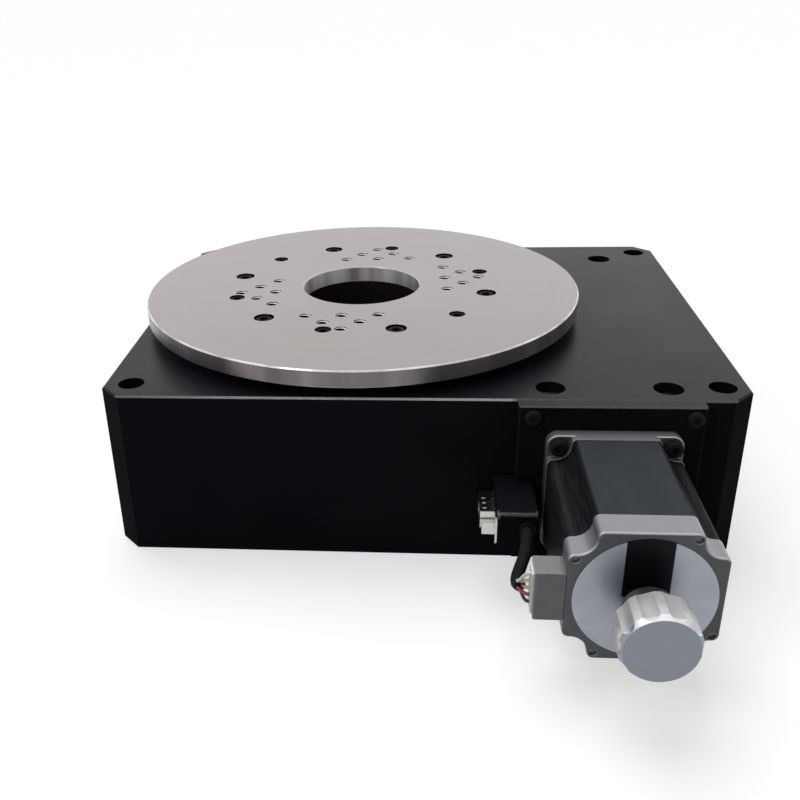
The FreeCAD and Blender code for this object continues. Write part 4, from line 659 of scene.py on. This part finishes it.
band_black = Finish("band_black", {"Specular IOR Level": 0.12})
film = band_black.noise(3 * MM, 3.0)
band_black.coat({
    "Base Color": band_black.mix(film, (0.0012, 0.0016, 0.003, 1), (0.0026, 0.003, 0.005, 1)),
    "Roughness": 0.3 + 0.15 * film,
    "Normal": band_black.bump(film, 0.01 * MM)})
band_black.dress("motor_rear_band")

# The hand knob is turned from aluminium, with a bevelled face and ten flutes milled from end to end. Its
# plain hub goes over the motor's shaft and is held by a set screw.
KNOB_LENGTH = 15.0
HUB_LENGTH = 8.5
KNOB_RADIUS = 14.25
FACE_RADIUS = 12.9
FRONT_BEVEL = 2.2
BACK_BEVEL = 1.0
HUB_RADIUS = 9.3
HUB_BEVEL = 0.5
SHAFT_RADIUS = 3.2
SHAFT_DEPTH = 10.9
BEVEL_ROWS = 14
FLUTES = 10
FLUTE_RADIUS = 5.6
FLUTE_REACH = 18.7
SPOTS_PER_FLUTE = 24
FLUTE_SHARE = 2 / 3
KNOB_BLUR = 0.2
knob_front = -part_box("hand_knob")[0][1] / MM
knob_back = knob_front - KNOB_LENGTH
hub_back = knob_back - HUB_LENGTH


def fluted_knob():
    """The knob's rings, from bore over hub, back, flutes and bevel to the face. A flute is a round groove:
    at each turn its floor is its axis's reach times the cosine, less the root of its radius squared less the
    sine's share of the reach squared. The cosine rule gives the turn where it meets a ring's full radius, and
    two thirds of the spots lie between those turns."""
    lift = np.linspace(0, 1, BEVEL_ROWS)
    bevel = list(zip(FACE_RADIUS + (KNOB_RADIUS - FACE_RADIUS) * lift, lift))
    rows = [(SHAFT_RADIUS, knob_front - SHAFT_DEPTH), (SHAFT_RADIUS, hub_back),
            (HUB_RADIUS - HUB_BEVEL, hub_back), (HUB_RADIUS, hub_back + HUB_BEVEL),
            (HUB_RADIUS, knob_back), (FACE_RADIUS - HUB_BEVEL, knob_back),
            *((r, knob_back + BACK_BEVEL * share) for r, share in bevel),
            (KNOB_RADIUS, (knob_back + knob_front) / 2),
            *((r, knob_front - FRONT_BEVEL * share) for r, share in reversed(bevel)),
            (FACE_RADIUS - HUB_BEVEL, knob_front)]
    full, depth = (np.array(column)[:, None] for column in zip(*rows))
    ring = np.clip(full, FLUTE_REACH - FLUTE_RADIUS, KNOB_RADIUS)
    meet = np.arccos((ring ** 2 + FLUTE_REACH ** 2 - FLUTE_RADIUS ** 2) / (2 * ring * FLUTE_REACH))
    step = np.arange(SPOTS_PER_FLUTE) * 2 / SPOTS_PER_FLUTE - 1
    half = math.pi / FLUTES
    on_land = np.sign(step) * (meet + (np.abs(step) - FLUTE_SHARE) / (1 - FLUTE_SHARE) * (half - meet))
    in_flute = np.abs(step) < FLUTE_SHARE + 1e-6
    swing = np.where(in_flute, step / FLUTE_SHARE * meet, on_land)
    root = np.maximum(FLUTE_RADIUS ** 2 - (FLUTE_REACH * np.sin(swing)) ** 2, 0)
    floor_radius = FLUTE_REACH * np.cos(swing) - np.sqrt(root)
    radius = np.tile(np.where(in_flute, np.minimum(full, floor_radius), full), FLUTES)
    middles = (2 * np.arange(FLUTES)[:, None] + 1) * half + math.pi / 2
    turn = (swing[:, None] + middles).reshape(len(rows), -1)
    across = worm_x + radius * np.cos(turn)
    up = worm_z + radius * np.sin(turn)
    return MM * np.stack([across, -depth + 0 * turn, up], -1)[None]


turned_knob = Finish("turned_knob", {})
lathe = turned_knob.noise(0.25 * MM, 2.0, (6, 1, 6))
touch = turned_knob.noise(5 * MM, 4.0)
rounded = turned_knob.rounding(0.25 * MM)
_, along, _ = turned_knob.place()
from_face = along / MM + knob_front
on_face = turned_knob.spread(from_face, KNOB_BLUR, KNOB_BLUR / 4)
on_bevel = turned_knob.spread(from_face, FRONT_BEVEL, FRONT_BEVEL - KNOB_BLUR / 2)
on_hub = turned_knob.spread(from_face, KNOB_LENGTH - KNOB_BLUR, KNOB_LENGTH)
milled = turned_knob.fade(touch, 0.3, 0.75, (0.57, 0.558, 0.57, 1), (0.66, 0.648, 0.66, 1))
# The face is painted darker and bluer than the flutes, a painted shade.
face_painted_shade = turned_knob.fade(touch, 0.3, 0.75, (0.265, 0.285, 0.335, 1), (0.295, 0.312, 0.36, 1))
# The bevel is painted near white where it looks up, a painted highlight.
bevel_painted_highlight = turned_knob.fade(turned_knob.upward(), 0.45, 0.85, (0.3, 0.31, 0.34, 1), (0.86, 0.85, 0.86, 1))
outside = turned_knob.mix(on_face, turned_knob.mix(on_bevel, milled, bevel_painted_highlight), face_painted_shade)
# The hub is painted dark grey, a painted shade.
turned_knob.coat({
    "Base Color": turned_knob.mix(on_hub, outside, (0.12, 0.125, 0.125, 1)),
    "Metallic": 0.9 - 0.4 * on_face,
    "Roughness": 0.38 + 0.08 * lathe + 0.06 * touch,
    "Normal": turned_knob.bump(lathe, 0.004 * MM, rounded)})
knob = skin("fluted_hand_knob", fluted_knob(), turned_knob.owner)
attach(knob, "worm_drive")
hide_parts("hand_knob")
black_oxide.dress("hand_knob_set_screw")

# The motor's connector is a socket moulded in grey plastic, fixed to the rear bell's left side. A plug
# moulded in white nylon is pushed into it.
moulded_grey = Finish("moulded_grey", {"Specular IOR Level": 0.4})
matt = moulded_grey.noise(0.25 * MM, 3.0)
sink = moulded_grey.noise(6 * MM, 2.0)
rounded = moulded_grey.rounding(0.35 * MM)
shell_grey = moulded_grey.fade(sink, 0.3, 0.7, (0.126, 0.129, 0.136, 1), (0.147, 0.149, 0.154, 1))
# The edges are painted mid grey, a painted highlight.
moulded_grey.coat({
    "Base Color": moulded_grey.mix(moulded_grey.edges(rounded), shell_grey, (0.5, 0.5, 0.5, 1)),
    "Roughness": 0.36 + 0.18 * matt,
    "Coat Weight": moulded_grey.spread(moulded_grey.upward(), 0.3, 0.9, 0.0, 0.95),
    "Normal": moulded_grey.bump(matt, 0.012 * MM, rounded)})
moulded_grey.dress("motor_socket")

moulded_white = Finish("moulded_white", {"Subsurface Weight": 0.1})
milky = moulded_white.noise(1.5 * MM, 3.0)
moulded_white.coat({
    "Base Color": moulded_white.mix(milky, (0.62, 0.6, 0.55, 1), (0.74, 0.72, 0.68, 1)),
    "Roughness": 0.35 + 0.2 * milky,
    "Normal": moulded_white.bump(milky, 0.02 * MM)})
moulded_white.dress("motor_plug")

# Five wires in coloured vinyl run from the plug into a black braided sleeve, which enters the connector box
# through a rubber grommet. The lead is held at both ends.
SLEEVE_ROUTE = ((70.3, -182.5, 37.6), (68.9, -179.5, 36.2), (71.6, -168.5, 35.2), (75.8, -155.5, 35.2),
                (76.9, -140.5, 36.2))
SLEEVE_RADIUS = 2.45
SLEEVE_SPOTS = 96
STRANDS = 12
STRAND_LAY = 5.2
STRAND_HEIGHT = 0.09
# Each wire's angle in the bundle, in degrees, and its colour.
WIRES = {"wire_dark": (-90.0, (0.03, 0.022, 0.028)), "wire_red": (198.0, (0.30, 0.045, 0.075)),
         "wire_pink": (-18.0, (0.62, 0.40, 0.32)), "wire_yellow": (54.0, (0.62, 0.60, 0.36)),
         "wire_white": (126.0, (0.72, 0.72, 0.68))}
WIRE_RADIUS = 0.65
WIRE_SPOTS = 16
WIRE_PITCH = 3.2
WIRE_SOIL = 0.72
PLUG_RUN = 1.6
PLUG_MIDDLE = (73.4, -187.0, 40.1)
BUNDLE_RADIUS = 1.35
LINE_STEPS = 24


def smooth_line(route):
    """Points along a smooth curve that has the route's points as its control points."""
    curve = bpy.data.curves.new("route", "CURVE")
    curve.dimensions = "3D"
    curve.resolution_u = LINE_STEPS
    spline = curve.splines.new("NURBS")
    spline.points.add(len(route) - 1)
    spline.points.foreach_set("co", np.column_stack([route, np.ones(len(route))]).ravel())
    spline.order_u = 3
    spline.use_endpoint_u = True
    carrier = bpy.data.objects.new("route", curve)
    line = bpy.data.meshes.new_from_object(carrier)
    points = np.empty(3 * len(line.vertices))
    line.vertices.foreach_get("co", points)
    bpy.data.objects.remove(carrier)
    bpy.data.curves.remove(curve)
    bpy.data.meshes.remove(line)
    return points.reshape(-1, 3)


def tube(line, spots, radius):
    """Rings round a line: at each of its points a circle square to the line, whose radius is a function of
    the turn and of the length along the line."""
    onward = np.gradient(line, axis=0)
    onward /= np.linalg.norm(onward, axis=1)[:, None]
    side = np.cross(onward, [0, 0, 1.0])
    side /= np.linalg.norm(side, axis=1)[:, None]
    rise = np.cross(onward, side)
    turn = np.linspace(0, 2 * np.pi, spots, endpoint=False)
    length = np.concatenate([[0], np.cumsum(np.linalg.norm(np.diff(line, axis=0), axis=1))])
    reach = radius(turn[None], length[:, None])[..., None]
    circle = side[:, None] * np.cos(turn)[None, :, None] + rise[:, None] * np.sin(turn)[None, :, None]
    return MM * (line[:, None] + reach * circle)[None]


def plain(turn, length):
    """A wire's radius, the same at every turn and length."""
    return WIRE_RADIUS + 0 * turn * length


def braid(turn, length):
    """The sleeve's radius: two sets of strands wound opposite ways, each a sine of turn plus or less length,
    with the higher set on top."""
    over = np.sin(STRANDS * turn + STRAND_LAY * length)
    under = np.sin(STRANDS * turn - STRAND_LAY * length)
    return SLEEVE_RADIUS + STRAND_HEIGHT * (np.maximum(over, under) - 1)


mouth, inside = (Vector(point) for point in SLEEVE_ROUTE[:2])
lay_in = Vector((0, 1, 0)).rotation_difference(inside - mouth)
plug_x, plug_y, plug_z = PLUG_MIDDLE
for place, (name, (bundle_angle, colour)) in enumerate(WIRES.items()):
    swing = math.radians(bundle_angle)
    spoke = lay_in @ Vector((BUNDLE_RADIUS * math.cos(swing), 0, BUNDLE_RADIUS * math.sin(swing)))
    exit_z = plug_z + (place - 2) * WIRE_PITCH
    wire_route = [(plug_x, plug_y, exit_z), (plug_x - PLUG_RUN, plug_y, exit_z),
                  tuple(mouth + spoke), tuple(inside + spoke)]
    vinyl = Finish(name, {"Specular IOR Level": 0.45})
    soil = vinyl.noise(1.2 * MM, 3.0)
    soiled = [WIRE_SOIL * part for part in colour]
    vinyl.coat({
        "Base Color": vinyl.fade(soil, 0.35, 0.75, (*colour, 1), (*soiled, 1)),
        "Roughness": 0.3 + 0.2 * soil,
        "Normal": vinyl.bump(soil, 0.02 * MM)})
    wire = skin(name, tube(smooth_line(wire_route), WIRE_SPOTS, plain), vinyl.owner)
    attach(wire, "base")
    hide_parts("motor_lead_wires")

braid_black = Finish("braid_black", {"Specular IOR Level": 0.12})
fibre = braid_black.noise(0.2 * MM, 3.0)
dust = braid_black.noise(5 * MM, 3.0)
braid_black.coat({
    "Base Color": braid_black.mix(dust, (0.006, 0.006, 0.007, 1), (0.013, 0.0135, 0.0145, 1)),
    "Roughness": 0.42 + 0.2 * fibre,
    "Normal": braid_black.bump(fibre, 0.04 * MM)})
sleeve = skin("motor_lead_braid", tube(smooth_line(SLEEVE_ROUTE), SLEEVE_SPOTS, braid), braid_black.owner)
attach(sleeve, "base")
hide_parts("motor_lead_sleeve")
rubber.dress("motor_lead_grommet")

# The connector box is bent from sheet and anodised black, with a nine-way connector on its left: a shell of
# nickel plated steel round a black insulator with gilt pins, between two hexagon posts. One screw holds
# the box's tab.
BEND_RADIUS = 2.2 * MM
BEND_REACH = 3.0 * MM
SHADE_EDGE = -120.5
SHADE_BLUR = 1.0
DIMPLE_X = 60.0
DIMPLE_Z = 38.05
DIMPLE_ALONG = (-122.0, -126.0, -130.0)
DIMPLE_HALF = (1.1, 0.85, 0.3)
DIMPLE_SPOTS = 24
DIMPLE_ROWS = 8
DIMPLE_TOP = 0.96
BOX_SCREW = {"thread": 3.0, "pitch": 0.5, "length": 8.0}
BOX_SCREW_HEAD = {"head": 5.5, "height": 3.0, "key": 2.5}
BOX_SCREW_PLACE = (68.6, -113.5, 20.1)


def bend_highlight(finish, edge):
    """A painted highlight on the bend between the box's top and front."""
    return edge * front_edge(finish, "connector_box", BEND_REACH)


def pressed_dimples():
    """The three dimples along the shell: each half an ellipsoid, its rings shrinking by a cosine as they rise
    by a sine."""
    turn = np.linspace(0, 2 * np.pi, DIMPLE_SPOTS, endpoint=False)
    lift = np.linspace(0, DIMPLE_TOP * np.pi / 2, DIMPLE_ROWS)[:, None]
    unit = np.stack([np.cos(lift) * np.cos(turn), np.cos(lift) * np.sin(turn), np.sin(lift) + 0 * turn], -1)
    places = np.array([(DIMPLE_X, y, DIMPLE_Z) for y in DIMPLE_ALONG])
    return MM * (unit[None] * np.array(DIMPLE_HALF) + places[:, None, None])


# The bend carries a painted highlight in pale grey.
anodise("black_bent_sheet", BEND_RADIUS, (0.42, 0.42, 0.43, 1), bend_highlight).dress("connector_box")
nickel = Finish("nickel_plate", {"Metallic": 1.0})
plating = nickel.noise(0.8 * MM, 3.0)
_, along, _ = nickel.place()
# The shell's end and post nearest the base are painted near black and rougher, a painted shade.
shade_near_base = nickel.spread(along, SHADE_EDGE * MM, (SHADE_EDGE + SHADE_BLUR) * MM)
bright = nickel.mix(plating, (0.42, 0.415, 0.4, 1), (0.62, 0.615, 0.6, 1))
nickel.coat({
    "Base Color": nickel.mix(shade_near_base, bright, (0.01, 0.0097, 0.0095, 1)),
    "Roughness": 0.18 + 0.16 * plating + 0.3 * shade_near_base,
    "Normal": nickel.bump(plating, 0.01 * MM)})
nickel.dress("dsub_shell", "dsub_jackposts")
dimples = skin("dsub_shell_dimples", pressed_dimples(), nickel.owner)
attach(dimples, "base")

gilt = Finish("gilt_pins", {"Metallic": 1.0})
wiped = gilt.noise(0.4 * MM, 2.0)
gilt.coat({
    "Base Color": gilt.mix(wiped, (0.66, 0.45, 0.14, 1), (0.85, 0.62, 0.25, 1)),
    "Roughness": 0.18 + 0.15 * wiped,
    "Normal": gilt.bump(wiped, 0.004 * MM)})
gilt.dress("dsub_pins")
moulded_black.dress("dsub_insulator")
put_screws("connector_box_cap_screw", "connector_box_screw", "base", "front", [BOX_SCREW_PLACE],
           shank_rows(**BOX_SCREW) + cap_rows(**BOX_SCREW_HEAD))

# The studio: a wide pale floor, which shows white to the camera and in reflections but keeps the stage's
# shadow, and a white surround. A wide soft light comes from overhead, left out of reflections because its
# image would clip the table to white, and a narrow soft box stands at the front left.
FLOOR_HALF = 12.0
FLOOR_BELOW = 0.4 * MM
OVERHEAD_PLACE = (-0.25, 0.45, 1.3)
OVERHEAD_AIM = (0, 0, 0)
STRIP_PLACE = (-0.62, -0.75, 0.8)
STRIP_AIM = (0, 0, 0.05)
floor_mesh = bpy.data.meshes.new("floor")
floor_corners = [(x * FLOOR_HALF, y * FLOOR_HALF, -FLOOR_BELOW)
                 for x, y in ((-1, -1), (1, -1), (1, 1), (-1, 1))]
floor_mesh.from_pydata(floor_corners, [], [(0, 1, 2, 3)])
floor = bpy.data.objects.new("floor", floor_mesh)
bpy.context.scene.collection.objects.link(floor)


def seen_share(recipe):
    """One for rays from the camera, from a gloss or through glass, and zero for light that only falls on
    things."""
    camera_ray = recipe.node("ShaderNodeLightPath", None, None, "Is Camera Ray")
    rays = camera_ray.socket.node.outputs
    return camera_ray + Value(recipe, rays["Is Glossy Ray"]) + Value(recipe, rays["Is Transmission Ray"])


paper = Recipe(bpy.data.materials.new("pale_paper"))
seen = seen_share(paper)
tone = paper.mix(seen, (0.36, 0.36, 0.36, 1), (0.97, 0.97, 0.97, 1))
matt_paper = paper.node("ShaderNodeBsdfDiffuse", None, {"Color": tone})
white_paper = paper.node("ShaderNodeEmission", None, {"Color": (1, 1, 1, 1), "Strength": 1.0})
shown = paper.node("ShaderNodeMixShader", None, {0: 0.6 * seen, 1: matt_paper, 2: white_paper})
paper.fill(paper.tree.nodes["Material Output"], {"Surface": shown})
floor_mesh.materials.append(paper.owner)

surround = Recipe(bpy.data.worlds.new("white_surround"))
surround.fill(surround.tree.nodes["Background"], {
    "Color": (1, 1, 1, 1), "Strength": 0.24 + 0.76 * seen_share(surround)})
bpy.context.scene.world = surround.owner


def hang(name, lamp, place, aim):
    """Puts up a lamp that faces a point."""
    hung = bpy.data.objects.new(name, lamp)
    hung.location = place
    hung.rotation_euler = (Vector(aim) - Vector(place)).to_track_quat("-Z", "Y").to_euler()
    bpy.context.scene.collection.objects.link(hung)
    return hung


overhead = bpy.data.lights.new("overhead", "SUN")
overhead.energy = 2.6
overhead.angle = math.radians(45)
hang("overhead", overhead, OVERHEAD_PLACE, OVERHEAD_AIM).visible_glossy = False
strip = bpy.data.lights.new("strip", "AREA")
strip.shape = "RECTANGLE"
strip.size = 0.16
strip.size_y = 0.8
strip.energy = 3.0
hang("strip", strip, STRIP_PLACE, STRIP_AIM)

# The camera stands in front of the stage, a little to the right of the table's axis, and looks down on it.
# Its lens is shifted as far as the picture's framing needs.
CAMERA_PLACE = (34.87, -469.33, 254.76)
CAMERA_PITCH = 25.281
CAMERA_YAW = -5.708
CAMERA_ROLL = -2.012
FOCAL_LENGTH = 41.77
SENSOR_WIDTH = 36.0
SHIFT_RIGHT = 0.0718
SHIFT_UP = -0.0146
rolled_back, pitched, yawed = (Matrix.Rotation(math.radians(angle), 3, axis) for angle, axis in (
    (CAMERA_ROLL, "Z"), (CAMERA_PITCH, "X"), (CAMERA_YAW, "Z")))
level = Matrix(((1, 0, 0), (0, 0, -1), (0, 1, 0)))
aimed = Matrix.Diagonal((1, -1, -1)) @ rolled_back @ pitched @ level @ yawed
lens = bpy.data.cameras.new("camera")
lens.lens = FOCAL_LENGTH
lens.sensor_width = SENSOR_WIDTH
lens.shift_x = SHIFT_RIGHT
lens.shift_y = SHIFT_UP
lens.clip_start = 0.01
lens.clip_end = 100.0
camera = bpy.data.objects.new("camera", lens)
bpy.context.scene.collection.objects.link(camera)
camera.matrix_world = Matrix.Translation(MM * Vector(CAMERA_PLACE)) @ aimed.transposed().to_4x4()
bpy.context.scene.camera = camera
bpy.context.scene.view_settings.view_transform = "Standard"
